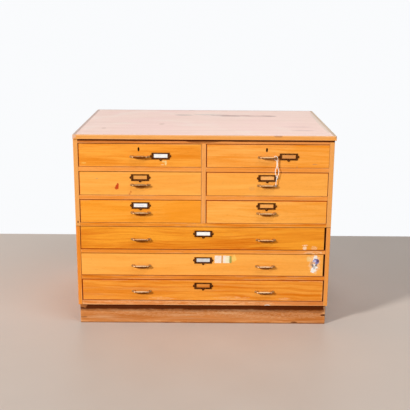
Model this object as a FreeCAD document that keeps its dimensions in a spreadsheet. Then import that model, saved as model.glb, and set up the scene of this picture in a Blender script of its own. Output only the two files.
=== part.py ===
# A wooden plan chest: two stacked carcasses with six small and three wide drawers on a recessed plinth.
# Millimetres, +Z up, the drawers open towards -Y.
# The origin is on the floor, under the middle of the chest's bounding box.
import FreeCAD, Part
import math
import os
from types import SimpleNamespace

import Sketcher

SIZES = {
    # Height of the whole chest
    "chest_h": 940,
    # Top: a panel framed by lipping strips
    "top_w": 1220,
    "top_d": 880,
    "top_t": 21,
    "lip_side_w": 14,
    "lip_front_w": 6,
    "lip_back_w": 12,
    "front_overhang": 7,
    "back_overhang": 3,
    # Carcasses, a little narrower than the top
    "top_spare_w": 7,
    "carcass_shift": 3,
    "upper_side_t": 21.5,
    "lower_side_t": 20,
    "divider_t": 21,
    "back_panel_t": 6,
    "back_rebate_w": 10,
    "upper_floor_t": 18,
    "lower_floor_t": 24,
    "top_rail_h": 19.5,
    "upper_rail_h": 21.5,
    "lower_rail_h": 20,
    "rail_d": 60,
    "upper_runner_w": 30,
    "lower_runner_w": 36,
    # Plinth
    "plinth_h": 102,
    "plinth_board_t": 20,
    "plinth_recess": 18,
    "plinth_side_in": 5,
    "plinth_back_in": 12,
    # Drawer openings: each row's share of the height that the boards leave
    "small_1_share": 111.5,
    "small_2_share": 114,
    "small_3_share": 113,
    "wide_1_share": 113.5,
    "wide_2_share": 112,
    "wide_3_share": 108.5,
    # Drawers
    "front_t": 20,
    "front_lap": 10,
    "close_gap": 0.8,
    "easy_gap": 2.2,
    "loose_gap": 3,
    "front_top_gap": 2.2,
    "front_bottom_gap": 0.8,
    "wide_slack": 9,
    "low_slack": 5,
    "side_board_t": 12,
    "side_inset": 3,
    "side_drop": 6,
    "back_board_t": 12,
    "back_drop": 8,
    "bottom_t": 6,
    "bottom_up": 10,
    "groove_d": 6,
    "groove_slack": 0.2,
    "run_gap": 0.3,
    "rear_gap": 2,
    # Bow handles
    "handle_posts": 70,
    "handle_drop": 6,
    "bar_out": 17.6,
    "bow_bend": 6.5,
    "bow_r": 4.2,
    "grip_r": 7,
    "grip_end_r": 5.2,
    "grip_l": 56,
    "lug_reach": 12.7,
    "lug_h": 11,
    "lug_t": 3,
    # Label holders and their cards
    "holder_w": 84,
    "holder_h": 32,
    "holder_t": 2.2,
    "holder_rise": 34.5,
    "holder_lift": 3,
    "holder_gap": 0.3,
    "wide_holder_rise": 22,
    "window_w": 64.5,
    "window_h": 18,
    "window_up": 8.2,
    "ear_r": 6,
    "ear_out": 1,
    "card_w": 72,
    "card_h": 25,
    "card_t": 0.5,
    "card_room": 0.4,
    # Screws and pins
    "screw_head_r": 2.8,
    "screw_head_h": 1.6,
    "screw_r": 1.6,
    "screw_l": 15,
    "pin_head_r": 2.6,
    "pin_head_h": 1.2,
    "pin_r": 1,
    "pin_l": 10,
    "fastener_fit": 0.1,
    # Drawer locks
    "key_offset": 5,
    "key_drop": 25,
    "key_w": 6.5,
    "key_h": 17,
    "lock_w": 62,
    "lock_h": 46,
    "lock_t": 12,
    "lock_fit": 0.2,
    "bolt_w": 24,
    "bolt_t": 6,
    "bolt_l": 38,
    "bolt_fit": 0.3,
    "bolt_travel": 9,
    "bolt_room": 1,
    # String
    "string_r": 1.5,
    "string_out": 9,
}

# How far a cutting box runs past the face that it opens
OVER = 1.0
INTO_WOOD = FreeCAD.Rotation(FreeCAD.Vector(1, 0, 0), -90)
OUT_OF_WOOD = FreeCAD.Rotation(FreeCAD.Vector(1, 0, 0), 90)


class Length:
    """A length written as an expression over the cells of the size sheet."""

    def __init__(self, text):
        self.text = text

    def __str__(self):
        return self.text

    def __add__(self, other):
        return Length(f"({self} + {other})")

    def __sub__(self, other):
        return Length(f"({self} - {other})")

    def __mul__(self, factor):
        return Length(f"({self} * {factor})")

    def __truediv__(self, factor):
        return Length(f"({self} / {factor})")

    def __neg__(self):
        return Length(f"(-{self})")


doc = FreeCAD.newDocument("plan_chest")
sheet = doc.addObject("Spreadsheet::Sheet", "Sizes")
for row, (alias, size) in enumerate(SIZES.items(), start=1):
    sheet.set(f"A{row}", str(size))
    sheet.setAlias(f"A{row}", alias)
doc.recompute()

s = SimpleNamespace(**{alias: Length(f"Sizes.{alias}") for alias in SIZES})
subparts = []


# Building blocks


def number(length):
    """The present value of a length, for pieces whose shape is worked out in code."""
    return float(sheet.evalExpression(str(length)))


def bind(obj, **lengths):
    for name, length in lengths.items():
        obj.setExpression(name, str(length))


def place(obj, at):
    for axis, length in zip("xyz", at):
        obj.setExpression(f"Placement.Base.{axis}", str(length))


def box(name, low, size):
    obj = doc.addObject("Part::Box", name)
    bind(obj, Length=size[0], Width=size[1], Height=size[2])
    place(obj, low)
    return obj


def rod(name, start, radius, length, rotation):
    obj = doc.addObject("Part::Cylinder", name)
    bind(obj, Radius=radius, Height=length)
    obj.Placement = FreeCAD.Placement(FreeCAD.Vector(), rotation)
    place(obj, start)
    return obj


def group(name, members):
    obj = doc.addObject("Part::Compound", name)
    obj.Links = members
    return obj


def fuse(name, members):
    obj = doc.addObject("Part::MultiFuse", name)
    obj.Shapes = members
    return obj


def cut(name, base, tools):
    obj = doc.addObject("Part::Cut", name)
    obj.Base = base
    obj.Tool = group(f"{name}_tools", tools)
    return obj


def keep(obj, label):
    """Name a finished sub-part, which is written to a file of that name."""
    obj.Label = label
    subparts.append(obj)
    return obj


# Main lines of the chest

HANDLE_REACH = s.bar_out + s.grip_r
FRONT_Y = (HANDLE_REACH + s.front_overhang - s.top_d) / 2
TOP_FRONT_Y = FRONT_Y - s.front_overhang
TOP_BACK_Y = TOP_FRONT_Y + s.top_d
BACK_Y = TOP_BACK_Y - s.back_overhang
PANEL_Y = BACK_Y - s.back_panel_t
DRAWER_REAR_Y = PANEL_Y - s.rear_gap

CARCASS_W = s.top_w - s.top_spare_w
LEFT_X = -CARCASS_W / 2 - s.carcass_shift
RIGHT_X = LEFT_X + CARCASS_W
MIDDLE_X = LEFT_X + CARCASS_W / 2
UPPER_LEFT_X = LEFT_X + s.upper_side_t
UPPER_RIGHT_X = RIGHT_X - s.upper_side_t
LOWER_LEFT_X = LEFT_X + s.lower_side_t
LOWER_RIGHT_X = RIGHT_X - s.lower_side_t
DIVIDER_LEFT_X = MIDDLE_X - s.divider_t / 2
DIVIDER_RIGHT_X = MIDDLE_X + s.divider_t / 2
LEFT_COLUMN_X = (UPPER_LEFT_X + DIVIDER_LEFT_X) / 2
RIGHT_COLUMN_X = (DIVIDER_RIGHT_X + UPPER_RIGHT_X) / 2
LEFT_BAY = (UPPER_LEFT_X, DIVIDER_LEFT_X)
RIGHT_BAY = (DIVIDER_RIGHT_X, UPPER_RIGHT_X)
WIDE_BAY = (LOWER_LEFT_X, LOWER_RIGHT_X)

LOWER_BOARDS_H = s.plinth_h + s.lower_floor_t + s.lower_rail_h * 2
UPPER_BOARDS_H = s.upper_floor_t + s.upper_rail_h * 2 + s.top_rail_h + s.top_t
OPENINGS_H = s.chest_h - LOWER_BOARDS_H - UPPER_BOARDS_H
SMALL_SHARES = s.small_1_share + s.small_2_share + s.small_3_share
WIDE_SHARES = s.wide_1_share + s.wide_2_share + s.wide_3_share
ROW_UNIT = OPENINGS_H / (SMALL_SHARES + WIDE_SHARES)

SMALL_1_H = ROW_UNIT * s.small_1_share
SMALL_2_H = ROW_UNIT * s.small_2_share
SMALL_3_H = ROW_UNIT * s.small_3_share
WIDE_1_H = ROW_UNIT * s.wide_1_share
WIDE_2_H = ROW_UNIT * s.wide_2_share
WIDE_3_H = ROW_UNIT * s.wide_3_share

CARCASS_TOP_Z = s.chest_h - s.top_t
TOP_RAIL_Z = CARCASS_TOP_Z - s.top_rail_h
SMALL_1_Z = TOP_RAIL_Z - SMALL_1_H
UPPER_RAIL_1_Z = SMALL_1_Z - s.upper_rail_h
SMALL_2_Z = UPPER_RAIL_1_Z - SMALL_2_H
UPPER_RAIL_2_Z = SMALL_2_Z - s.upper_rail_h
SMALL_3_Z = UPPER_RAIL_2_Z - SMALL_3_H
SEAM_Z = SMALL_3_Z - s.upper_floor_t
WIDE_3_Z = s.plinth_h + s.lower_floor_t
LOWER_RAIL_2_Z = WIDE_3_Z + WIDE_3_H
WIDE_2_Z = LOWER_RAIL_2_Z + s.lower_rail_h
LOWER_RAIL_1_Z = WIDE_2_Z + WIDE_2_H
WIDE_1_Z = LOWER_RAIL_1_Z + s.lower_rail_h

LOCK_Y = FRONT_Y + s.front_t - s.lock_t
BOLT_Y = LOCK_Y + (s.lock_t - s.bolt_t) / 2


# Top, carcasses and plinth


def make_top():
    panel_w = s.top_w - s.lip_side_w * 2
    panel_d = s.top_d - s.lip_front_w - s.lip_back_w
    left = -s.top_w / 2
    panel_y = TOP_FRONT_Y + s.lip_front_w
    panel = box("panel", (left + s.lip_side_w, panel_y, CARCASS_TOP_Z), (panel_w, panel_d, s.top_t))
    keep(panel, "top_panel")
    strips = [
        box("lip_front", (left, TOP_FRONT_Y, CARCASS_TOP_Z), (s.top_w, s.lip_front_w, s.top_t)),
        box("lip_back", (left, panel_y + panel_d, CARCASS_TOP_Z), (s.top_w, s.lip_back_w, s.top_t)),
    ]
    for name, x in (("lip_left", left), ("lip_right", left + s.lip_side_w + panel_w)):
        strips.append(box(name, (x, panel_y, CARCASS_TOP_Z), (s.lip_side_w, panel_d, s.top_t)))
    keep(group("lipping", strips), "top_lipping")


def make_side(label, x, thickness, low, high, rebate_x):
    """A side panel with a rebate along its back edge for the back panel."""
    depth = BACK_Y - FRONT_Y
    board = box(f"{label}_board", (x, FRONT_Y, low), (thickness, depth, high - low))
    rebate_low = (rebate_x, PANEL_Y, low - OVER)
    rebate_size = (s.back_rebate_w, s.back_panel_t + OVER, high - low + 2 * OVER)
    rebate = box(f"{label}_rebate", rebate_low, rebate_size)
    keep(cut(f"{label}_cut", board, [rebate]), label)


def make_unit_walls(unit, thickness, low, high):
    """Both side panels of a unit and the back panel that sits in their rebates."""
    left_rebate = LEFT_X + thickness - s.back_rebate_w
    right_rebate = RIGHT_X - thickness
    make_side(f"{unit}_side_left", LEFT_X, thickness, low, high, left_rebate)
    make_side(f"{unit}_side_right", RIGHT_X - thickness, thickness, low, high, right_rebate)
    width = right_rebate + s.back_rebate_w - left_rebate
    panel = box(f"{unit}_panel", (left_rebate, PANEL_Y, low), (width, s.back_panel_t, high - low))
    keep(panel, f"{unit}_back_panel")


def make_floor(label, left, right, low, thickness):
    board = box(f"{label}_slab", (left, FRONT_Y, low), (right - left, PANEL_Y - FRONT_Y, thickness))
    keep(board, label)


def top_rail_box(name):
    size = (UPPER_RIGHT_X - UPPER_LEFT_X, s.rail_d, s.top_rail_h)
    return box(name, (UPPER_LEFT_X, FRONT_Y, TOP_RAIL_Z), size)


def make_divider():
    """The upright between the two columns, notched round the top rail."""
    size = (s.divider_t, PANEL_Y - FRONT_Y, CARCASS_TOP_Z - SMALL_3_Z)
    board = box("divider_board", (DIVIDER_LEFT_X, FRONT_Y, SMALL_3_Z), size)
    keep(cut("divider_cut", board, [top_rail_box("divider_notch")]), "upper_divider")


def make_top_rail(lock_xs):
    """The rail over the top drawers, with a mortise for each lock bolt."""
    depth = s.bolt_travel - s.front_top_gap + s.bolt_room
    width = s.bolt_w + s.bolt_room * 2
    mortises = []
    for x in lock_xs:
        low = (x - width / 2, BOLT_Y - s.bolt_room, TOP_RAIL_Z - OVER)
        mortises.append(box("bolt_mortise", low, (width, s.bolt_t + s.bolt_room * 2, depth + OVER)))
    keep(cut("top_rail_cut", top_rail_box("top_rail_board"), mortises), "upper_top_rail")


def bay_rails(bay, levels, height):
    """The rails between the drawers of a bay."""
    left, right = bay
    return [box("rail", (left, FRONT_Y, z), (right - left, s.rail_d, height)) for z in levels]


def bay_runners(bay, width, levels, height):
    """Strips behind the rails of a bay, level with them, which carry the drawers' sides."""
    left, right = bay
    start = FRONT_Y + s.rail_d
    runners = []
    for x in (left, right - width):
        for z in levels:
            runners.append(box("runner", (x, start, z), (width, PANEL_Y - start, height)))
    return runners


def make_rails_and_runners():
    upper_levels = (UPPER_RAIL_1_Z, UPPER_RAIL_2_Z)
    lower_levels = (LOWER_RAIL_1_Z, LOWER_RAIL_2_Z)
    rails = bay_rails(WIDE_BAY, lower_levels, s.lower_rail_h)
    runners = bay_runners(WIDE_BAY, s.lower_runner_w, lower_levels, s.lower_rail_h)
    for bay in (LEFT_BAY, RIGHT_BAY):
        rails += bay_rails(bay, upper_levels, s.upper_rail_h)
        runners += bay_runners(bay, s.upper_runner_w, upper_levels, s.upper_rail_h)
    keep(group("rail_group", rails), "drawer_rails")
    keep(group("runner_group", runners), "drawer_runners")


def make_upper_unit(lock_xs):
    make_unit_walls("upper", s.upper_side_t, SEAM_Z, CARCASS_TOP_Z)
    make_floor("upper_floor", UPPER_LEFT_X, UPPER_RIGHT_X, SEAM_Z, s.upper_floor_t)
    make_divider()
    make_top_rail(lock_xs)


def make_lower_unit():
    make_unit_walls("lower", s.lower_side_t, s.plinth_h, SEAM_Z)
    make_floor("lower_floor", LOWER_LEFT_X, LOWER_RIGHT_X, s.plinth_h, s.lower_floor_t)


def make_plinth():
    left = LEFT_X + s.plinth_side_in
    right = RIGHT_X - s.plinth_side_in
    front = FRONT_Y + s.plinth_recess
    back = BACK_Y - s.plinth_back_in
    long_board = (right - left, s.plinth_board_t, s.plinth_h)
    short_board = (s.plinth_board_t, back - front - s.plinth_board_t * 2, s.plinth_h)
    boards = [
        box("plinth_front", (left, front, 0), long_board),
        box("plinth_back", (left, back - s.plinth_board_t, 0), long_board),
        box("plinth_left", (left, front + s.plinth_board_t, 0), short_board),
        box("plinth_right", (right - s.plinth_board_t, front + s.plinth_board_t, 0), short_board),
    ]
    keep(group("plinth_group", boards), "plinth")


# Fasteners


def fastener(name, seat, head_r, head_h, shank_r, shank_l):
    """A screw or pin: a raised head on its seat and a shank into the wood."""
    head = doc.addObject("Part::Cone", f"{name}_head")
    bind(head, Radius1=head_r, Radius2=head_r / 2, Height=head_h)
    head.Placement = FreeCAD.Placement(FreeCAD.Vector(), OUT_OF_WOOD)
    place(head, seat)
    shank = rod(f"{name}_shank", seat, shank_r, shank_l, INTO_WOOD)
    return fuse(name, [head, shank])


def fastener_hole(x, z, shank_r, shank_l):
    start = (x, FRONT_Y - OVER, z)
    return rod("pilot_hole", start, shank_r + s.fastener_fit, shank_l + OVER, INTO_WOOD)


# Bow handle: a bent bar with a thicker grip, on two flat lugs


def origin_plane(body, role):
    for feature in body.Origin.OriginFeatures:
        if feature.Role == role:
            return feature


def new_sketch(body, name, role):
    sketch = body.newObject("Sketcher::SketchObject", name)
    sketch.AttachmentSupport = [(origin_plane(body, role), "")]
    sketch.MapMode = "FlatFace"
    return sketch


def drive(sketch, length, *constraint):
    """Add a dimension to a sketch and bind it to a length."""
    index = sketch.addConstraint(Sketcher.Constraint(*constraint, number(length)))
    sketch.setExpression(f"Constraints[{index}]", str(length))


def arc(x, y, radius, start_deg, end_deg):
    circle = Part.Circle(FreeCAD.Vector(x, y, 0), FreeCAD.Vector(0, 0, 1), radius)
    return Part.ArcOfCircle(circle, math.radians(start_deg), math.radians(end_deg))


def line(x0, y0, x1, y1):
    return Part.LineSegment(FreeCAD.Vector(x0, y0, 0), FreeCAD.Vector(x1, y1, 0))


def bow_path(body):
    """The bar's centre line seen from above: out of the wood, along it and back."""
    half = number(s.handle_posts) / 2
    out = number(s.bar_out)
    bend = number(s.bow_bend)
    sketch = new_sketch(body, "bow_path", "XY_Plane")
    sketch.addGeometry(line(-half, 0, -half, bend - out))
    sketch.addGeometry(arc(bend - half, bend - out, bend, 180, 270))
    sketch.addGeometry(line(bend - half, -out, half - bend, -out))
    sketch.addGeometry(arc(half - bend, bend - out, bend, 270, 360))
    sketch.addGeometry(line(half, bend - out, half, 0))
    for first in range(4):
        sketch.addConstraint(Sketcher.Constraint("Tangent", first, 2, first + 1, 1))
    sketch.addConstraint(Sketcher.Constraint("Vertical", 0))
    sketch.addConstraint(Sketcher.Constraint("Horizontal", 2))
    sketch.addConstraint(Sketcher.Constraint("Vertical", 4))
    sketch.addConstraint(Sketcher.Constraint("PointOnObject", 0, 1, -1))
    sketch.addConstraint(Sketcher.Constraint("Symmetric", 0, 1, 4, 2, -2))
    sketch.addConstraint(Sketcher.Constraint("Equal", 1, 3))
    drive(sketch, s.handle_posts, "DistanceX", 0, 1, 4, 2)
    drive(sketch, s.bow_bend, "Radius", 1)
    drive(sketch, s.bar_out, "DistanceY", 2, 1, -1, 1)
    return sketch


def bow_section(body):
    sketch = new_sketch(body, "bow_section", "XZ_Plane")
    centre = FreeCAD.Vector(-number(s.handle_posts) / 2, 0, 0)
    sketch.addGeometry(Part.Circle(centre, FreeCAD.Vector(0, 0, 1), number(s.bow_r)))
    sketch.addConstraint(Sketcher.Constraint("PointOnObject", 0, 3, -1))
    drive(sketch, s.handle_posts / 2, "DistanceX", 0, 3, -1, 1)
    drive(sketch, s.bow_r, "Radius", 0)
    return sketch


LUG_SCREW_X = s.handle_posts / 2 + s.lug_reach - s.lug_h / 2


def lug_outline(body):
    """A round-ended plate from the post to past its screw."""
    near = number(s.handle_posts) / 2
    far = number(LUG_SCREW_X)
    radius = number(s.lug_h) / 2
    sketch = new_sketch(body, "lug_outline", "XZ_Plane")
    sketch.addGeometry(line(near, radius, far, radius))
    sketch.addGeometry(arc(far, 0, radius, -90, 90))
    sketch.addGeometry(line(far, -radius, near, -radius))
    sketch.addGeometry(arc(near, 0, radius, 90, 270))
    joints = ((0, 2, 1, 2), (1, 1, 2, 1), (2, 2, 3, 2), (3, 1, 0, 1))
    for joint in joints:
        sketch.addConstraint(Sketcher.Constraint("Tangent", *joint))
    sketch.addConstraint(Sketcher.Constraint("PointOnObject", 1, 3, -1))
    sketch.addConstraint(Sketcher.Constraint("PointOnObject", 3, 3, -1))
    sketch.addConstraint(Sketcher.Constraint("Equal", 1, 3))
    drive(sketch, s.lug_h / 2, "Radius", 1)
    drive(sketch, s.handle_posts / 2, "DistanceX", -1, 1, 3, 3)
    drive(sketch, LUG_SCREW_X, "DistanceX", -1, 1, 1, 3)
    return sketch


def lug_hole_outline(body):
    sketch = new_sketch(body, "lug_hole", "XZ_Plane")
    centre = FreeCAD.Vector(number(LUG_SCREW_X), 0, 0)
    radius = s.screw_r + s.fastener_fit
    sketch.addGeometry(Part.Circle(centre, FreeCAD.Vector(0, 0, 1), number(radius)))
    sketch.addConstraint(Sketcher.Constraint("PointOnObject", 0, 3, -1))
    drive(sketch, LUG_SCREW_X, "DistanceX", -1, 1, 0, 3)
    drive(sketch, radius, "Radius", 0)
    return sketch


def grip_profile(body):
    """Half of the barrel-shaped grip, with the line that it is turned about."""
    half = number(s.grip_l) / 2
    axis_y = -number(s.bar_out)
    end_y = axis_y - number(s.grip_end_r)
    swell = s.grip_r - s.grip_end_r
    barrel_r = (s.grip_l * s.grip_l / 4 + swell * swell) / 2 / swell
    radius = number(barrel_r)
    centre_y = axis_y - number(s.grip_r) + radius
    half_deg = math.degrees(math.asin(half / radius))
    sketch = new_sketch(body, "grip_profile", "XY_Plane")
    sketch.addGeometry(line(-half, axis_y, half, axis_y))
    sketch.addGeometry(line(half, axis_y, half, end_y))
    sketch.addGeometry(arc(0, centre_y, radius, 270 - half_deg, 270 + half_deg))
    sketch.addGeometry(line(-half, end_y, -half, axis_y))
    sketch.addGeometry(line(-half, axis_y, half, axis_y), True)
    joints = ((0, 2, 1, 1), (1, 2, 2, 2), (2, 1, 3, 1), (3, 2, 0, 1), (4, 1, 0, 1), (4, 2, 0, 2))
    for joint in joints:
        sketch.addConstraint(Sketcher.Constraint("Coincident", *joint))
    sketch.addConstraint(Sketcher.Constraint("Vertical", 1))
    sketch.addConstraint(Sketcher.Constraint("Vertical", 3))
    sketch.addConstraint(Sketcher.Constraint("Symmetric", 0, 1, 0, 2, -2))
    sketch.addConstraint(Sketcher.Constraint("Equal", 1, 3))
    drive(sketch, s.bar_out, "DistanceY", 0, 1, -1, 1)
    drive(sketch, s.grip_l, "DistanceX", 0, 1, 0, 2)
    drive(sketch, s.grip_end_r, "DistanceY", 1, 2, 1, 1)
    drive(sketch, barrel_r, "Radius", 2)
    return sketch


def make_bow(name, x, z):
    body = doc.addObject("PartDesign::Body", name)
    path = bow_path(body)
    section = bow_section(body)
    doc.recompute()
    bow = body.newObject("PartDesign::AdditivePipe", "bow")
    bow.Profile = section
    bow.Spine = (path, [f"Edge{edge}" for edge in range(1, path.GeometryCount + 1)])
    lug = body.newObject("PartDesign::Pad", "lug")
    lug.Profile = lug_outline(body)
    bind(lug, Length=s.lug_t)
    hole = body.newObject("PartDesign::Pocket", "lug_screw_hole")
    hole.Profile = lug_hole_outline(body)
    hole.Reversed = True
    bind(hole, Length=s.lug_t)
    mirror = body.newObject("PartDesign::Mirrored", "other_lug")
    mirror.Originals = [lug, hole]
    mirror.MirrorPlane = (origin_plane(body, "YZ_Plane"), [""])
    body.Tip = mirror
    profile = grip_profile(body)
    grip = body.newObject("PartDesign::Revolution", "grip")
    grip.Profile = profile
    grip.ReferenceAxis = (profile, ["Axis0"])
    grip.Angle = 360
    body.Tip = grip
    place(body, (x, FRONT_Y, z))
    return body


def make_handles(drawer):
    pieces = []
    for x in drawer.handle_xs:
        pieces.append(make_bow(f"{drawer.name}_bow", x, drawer.handle_z))
        for screw_x in (x - LUG_SCREW_X, x + LUG_SCREW_X):
            seat = (screw_x, FRONT_Y - s.lug_t, drawer.handle_z)
            sizes = (s.screw_head_r, s.screw_head_h, s.screw_r, s.screw_l)
            pieces.append(fastener("lug_screw", seat, *sizes))
    keep(group(f"{drawer.name}_handle_group", pieces), f"{drawer.name}_handle")


# Label holder: a thin frame with three ears and a slot behind it for the card

EAR_X = s.holder_w / 2 + s.ear_out
EAR_Z = -s.holder_h / 2 - s.ear_out
HOLDER_HALF = EAR_X + s.ear_r


def ear_places(drawer):
    """Centres of the ears at the left, the right and below."""
    x, z = drawer.holder_at
    return ((x - EAR_X, z), (x + EAR_X, z), (x, z + EAR_Z))


def card_low(drawer):
    """The lower left corner of a card that stands in the holder's slot."""
    x, z = drawer.holder_at
    window_low = z - s.holder_h / 2 + s.window_up
    return x - s.card_w / 2, window_low - (s.card_h - s.window_h) / 2


def make_holder(drawer):
    x, z = drawer.holder_at
    left = x - s.holder_w / 2
    low = z - s.holder_h / 2
    face = FRONT_Y - s.holder_t
    plate = box("holder_plate", (left, face, low), (s.holder_w, s.holder_t, s.holder_h))
    ears = [rod("ear", (ex, face, ez), s.ear_r, s.holder_t, INTO_WOOD) for ex, ez in ear_places(drawer)]
    blank = fuse("holder_blank", [plate] + ears)
    window_at = (x - s.window_w / 2, face - OVER, low + s.window_up)
    window = box("window", window_at, (s.window_w, s.holder_t + 2 * OVER, s.window_h))
    card_x, card_z = card_low(drawer)
    slot_t = s.card_t + s.card_room
    slot_at = (card_x - s.card_room, FRONT_Y - slot_t, card_z)
    slot_h = low + s.holder_h - card_z
    slot = box("card_slot", slot_at, (s.card_w + s.card_room * 2, slot_t + OVER, slot_h + OVER))
    holes = []
    pins = []
    for ex, ez in ear_places(drawer):
        hole_at = (ex, face - OVER, ez)
        holes.append(rod("ear_hole", hole_at, s.pin_r + s.fastener_fit, s.holder_t + 2 * OVER, INTO_WOOD))
        sizes = (s.pin_head_r, s.pin_head_h, s.pin_r, s.pin_l)
        pins.append(fastener("holder_pin", (ex, face, ez), *sizes))
    frame = cut(f"{drawer.name}_holder_frame", blank, [window, slot] + holes)
    keep(group(f"{drawer.name}_holder_group", [frame] + pins), f"{drawer.name}_label_holder")


def make_card(drawer):
    x, z = card_low(drawer)
    low = (x, FRONT_Y - s.card_t - s.card_room / 2, z)
    keep(box(f"{drawer.name}_card_sheet", low, (s.card_w, s.card_t, s.card_h)), f"{drawer.name}_card")


# Drawer lock: a case let into the back of the front, and a bolt that rises into the top rail


def keyhole(drawer):
    """A round-ended slot through the front into the lock's case."""
    x = drawer.lock_x
    z = drawer.front_high - s.key_drop
    start = FRONT_Y - OVER
    depth = s.front_t - s.lock_t / 2 + OVER
    half_slot = (s.key_h - s.key_w) / 2
    slot = box("key_slot", (x - s.key_w / 2, start, z - half_slot), (s.key_w, depth, half_slot * 2))
    pieces = [slot]
    for rise in (-half_slot, half_slot):
        pieces.append(rod("key_slot_end", (x, start, z + rise), s.key_w / 2, depth, INTO_WOOD))
    return fuse(f"{drawer.name}_keyhole", pieces)


def lock_mortise(drawer):
    low = (drawer.lock_x - s.lock_w / 2 - s.lock_fit, LOCK_Y, drawer.front_high - s.lock_h - s.lock_fit)
    size = (s.lock_w + s.lock_fit * 2, s.lock_t + OVER, s.lock_h + s.lock_fit + OVER)
    return box(f"{drawer.name}_lock_mortise", low, size)


def make_lock(drawer, key_cutter):
    top = drawer.front_high
    case_low = (drawer.lock_x - s.lock_w / 2, LOCK_Y, top - s.lock_h)
    case = box(f"{drawer.name}_case_block", case_low, (s.lock_w, s.lock_t, s.lock_h))
    bolt_low = (drawer.lock_x - s.bolt_w / 2, BOLT_Y, top - s.bolt_l)
    bolt = box(f"{drawer.name}_bolt_bar", bolt_low, (s.bolt_w, s.bolt_t, s.bolt_l))
    channel_low = [low - s.bolt_fit for low in bolt_low]
    channel_size = (s.bolt_w + s.bolt_fit * 2, s.bolt_t + s.bolt_fit * 2, s.bolt_l + s.bolt_fit + OVER)
    channel = box(f"{drawer.name}_bolt_channel", channel_low, channel_size)
    keep(cut(f"{drawer.name}_case_cut", case, [channel, key_cutter]), f"{drawer.name}_lock_case")
    keep(bolt, f"{drawer.name}_lock_bolt")


# Drawers

# The gap at the left and at the right of each front
SIDE_GAPS = {
    "drawer_left_1": (s.loose_gap, s.close_gap),
    "drawer_left_2": (s.loose_gap, s.close_gap),
    "drawer_left_3": (s.loose_gap, s.close_gap),
    "drawer_right_1": (s.loose_gap, s.close_gap),
    "drawer_right_2": (s.loose_gap, s.easy_gap),
    "drawer_right_3": (s.loose_gap, s.easy_gap),
    "drawer_wide_1": (s.easy_gap, s.wide_slack),
    "drawer_wide_2": (s.close_gap, s.wide_slack),
    "drawer_wide_3": (s.loose_gap, s.low_slack),
}


def drawer_plan(name, bay, level, height, handle_xs):
    """The lines that a drawer's pieces share, worked out from the opening that it fills."""
    d = SimpleNamespace(name=name, handle_xs=handle_xs)
    left, right = bay
    left_gap, right_gap = SIDE_GAPS[name]
    d.middle_x = (left + right) / 2
    d.middle_z = level + height / 2
    d.front_left = left + left_gap
    d.front_right = right - right_gap
    d.front_low = level + s.front_bottom_gap
    d.front_high = level + height - s.front_top_gap
    d.side_left = d.front_left + s.side_inset
    d.side_right = d.front_right - s.side_inset
    d.inner_left = d.side_left + s.side_board_t
    d.inner_right = d.side_right - s.side_board_t
    d.side_low = level + s.run_gap
    d.side_high = d.front_high - s.side_drop
    d.panel_low = d.side_low + s.bottom_up
    d.handle_z = d.middle_z - s.handle_drop
    d.lock_x = None
    return d


def bottom_groove(d):
    """The groove for the bottom panel, round the sides and the front."""
    low = (d.inner_left - s.groove_d, FRONT_Y + s.front_t - s.groove_d, d.panel_low)
    width = d.inner_right - d.inner_left + s.groove_d * 2
    depth = DRAWER_REAR_Y - FRONT_Y - s.front_t + s.groove_d
    return box(f"{d.name}_groove", low, (width, depth + OVER, s.bottom_t + s.groove_slack))


def make_front(d, groove, key_cutter):
    """The front, rebated at its ends for the sides and bored for its fittings."""
    width = d.front_right - d.front_left
    height = d.front_high - d.front_low
    board = box(f"{d.name}_front_board", (d.front_left, FRONT_Y, d.front_low), (width, s.front_t, height))
    lap_size = (s.side_inset + s.side_board_t + OVER, s.front_t - s.front_lap + OVER, height + 2 * OVER)
    lap_y = FRONT_Y + s.front_lap
    lap_z = d.front_low - OVER
    tools = [
        groove,
        box(f"{d.name}_left_lap", (d.front_left - OVER, lap_y, lap_z), lap_size),
        box(f"{d.name}_right_lap", (d.inner_right, lap_y, lap_z), lap_size),
    ]
    for x in d.handle_xs:
        for screw_x in (x - LUG_SCREW_X, x + LUG_SCREW_X):
            tools.append(fastener_hole(screw_x, d.handle_z, s.screw_r, s.screw_l - s.lug_t))
    for ear_x, ear_z in ear_places(d):
        tools.append(fastener_hole(ear_x, ear_z, s.pin_r, s.pin_l - s.holder_t))
    if key_cutter:
        tools += [key_cutter, lock_mortise(d)]
    keep(cut(f"{d.name}_front_cut", board, tools), f"{d.name}_front")


def make_drawer_box(d, groove):
    """Two grooved sides, a back on top of the bottom panel, and the panel."""
    side_y = FRONT_Y + s.front_lap
    side_size = (s.side_board_t, DRAWER_REAR_Y - side_y, d.side_high - d.side_low)
    left = box(f"{d.name}_left_board", (d.side_left, side_y, d.side_low), side_size)
    right = box(f"{d.name}_right_board", (d.inner_right, side_y, d.side_low), side_size)
    panel_low = (
        d.inner_left - s.groove_d + s.groove_slack,
        FRONT_Y + s.front_t - s.groove_d + s.groove_slack,
        d.panel_low,
    )
    panel_w = d.inner_right - d.inner_left + (s.groove_d - s.groove_slack) * 2
    panel = box(f"{d.name}_bottom_panel", panel_low, (panel_w, DRAWER_REAR_Y - panel_low[1], s.bottom_t))
    back_low = d.panel_low + s.bottom_t
    back_at = (d.inner_left, DRAWER_REAR_Y - s.back_board_t, back_low)
    back_size = (d.inner_right - d.inner_left, s.back_board_t, d.side_high - s.back_drop - back_low)
    members = [
        cut(f"{d.name}_left_side", left, [groove]),
        cut(f"{d.name}_right_side", right, [groove]),
        box(f"{d.name}_back_board", back_at, back_size),
        panel,
    ]
    keep(group(f"{d.name}_box_group", members), f"{d.name}_box")


def make_drawer(d, has_card):
    groove = bottom_groove(d)
    key_cutter = keyhole(d) if d.lock_x else None
    make_front(d, groove, key_cutter)
    make_drawer_box(d, groove)
    make_handles(d)
    make_holder(d)
    if has_card:
        make_card(d)
    if key_cutter:
        make_lock(d, key_cutter)


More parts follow.
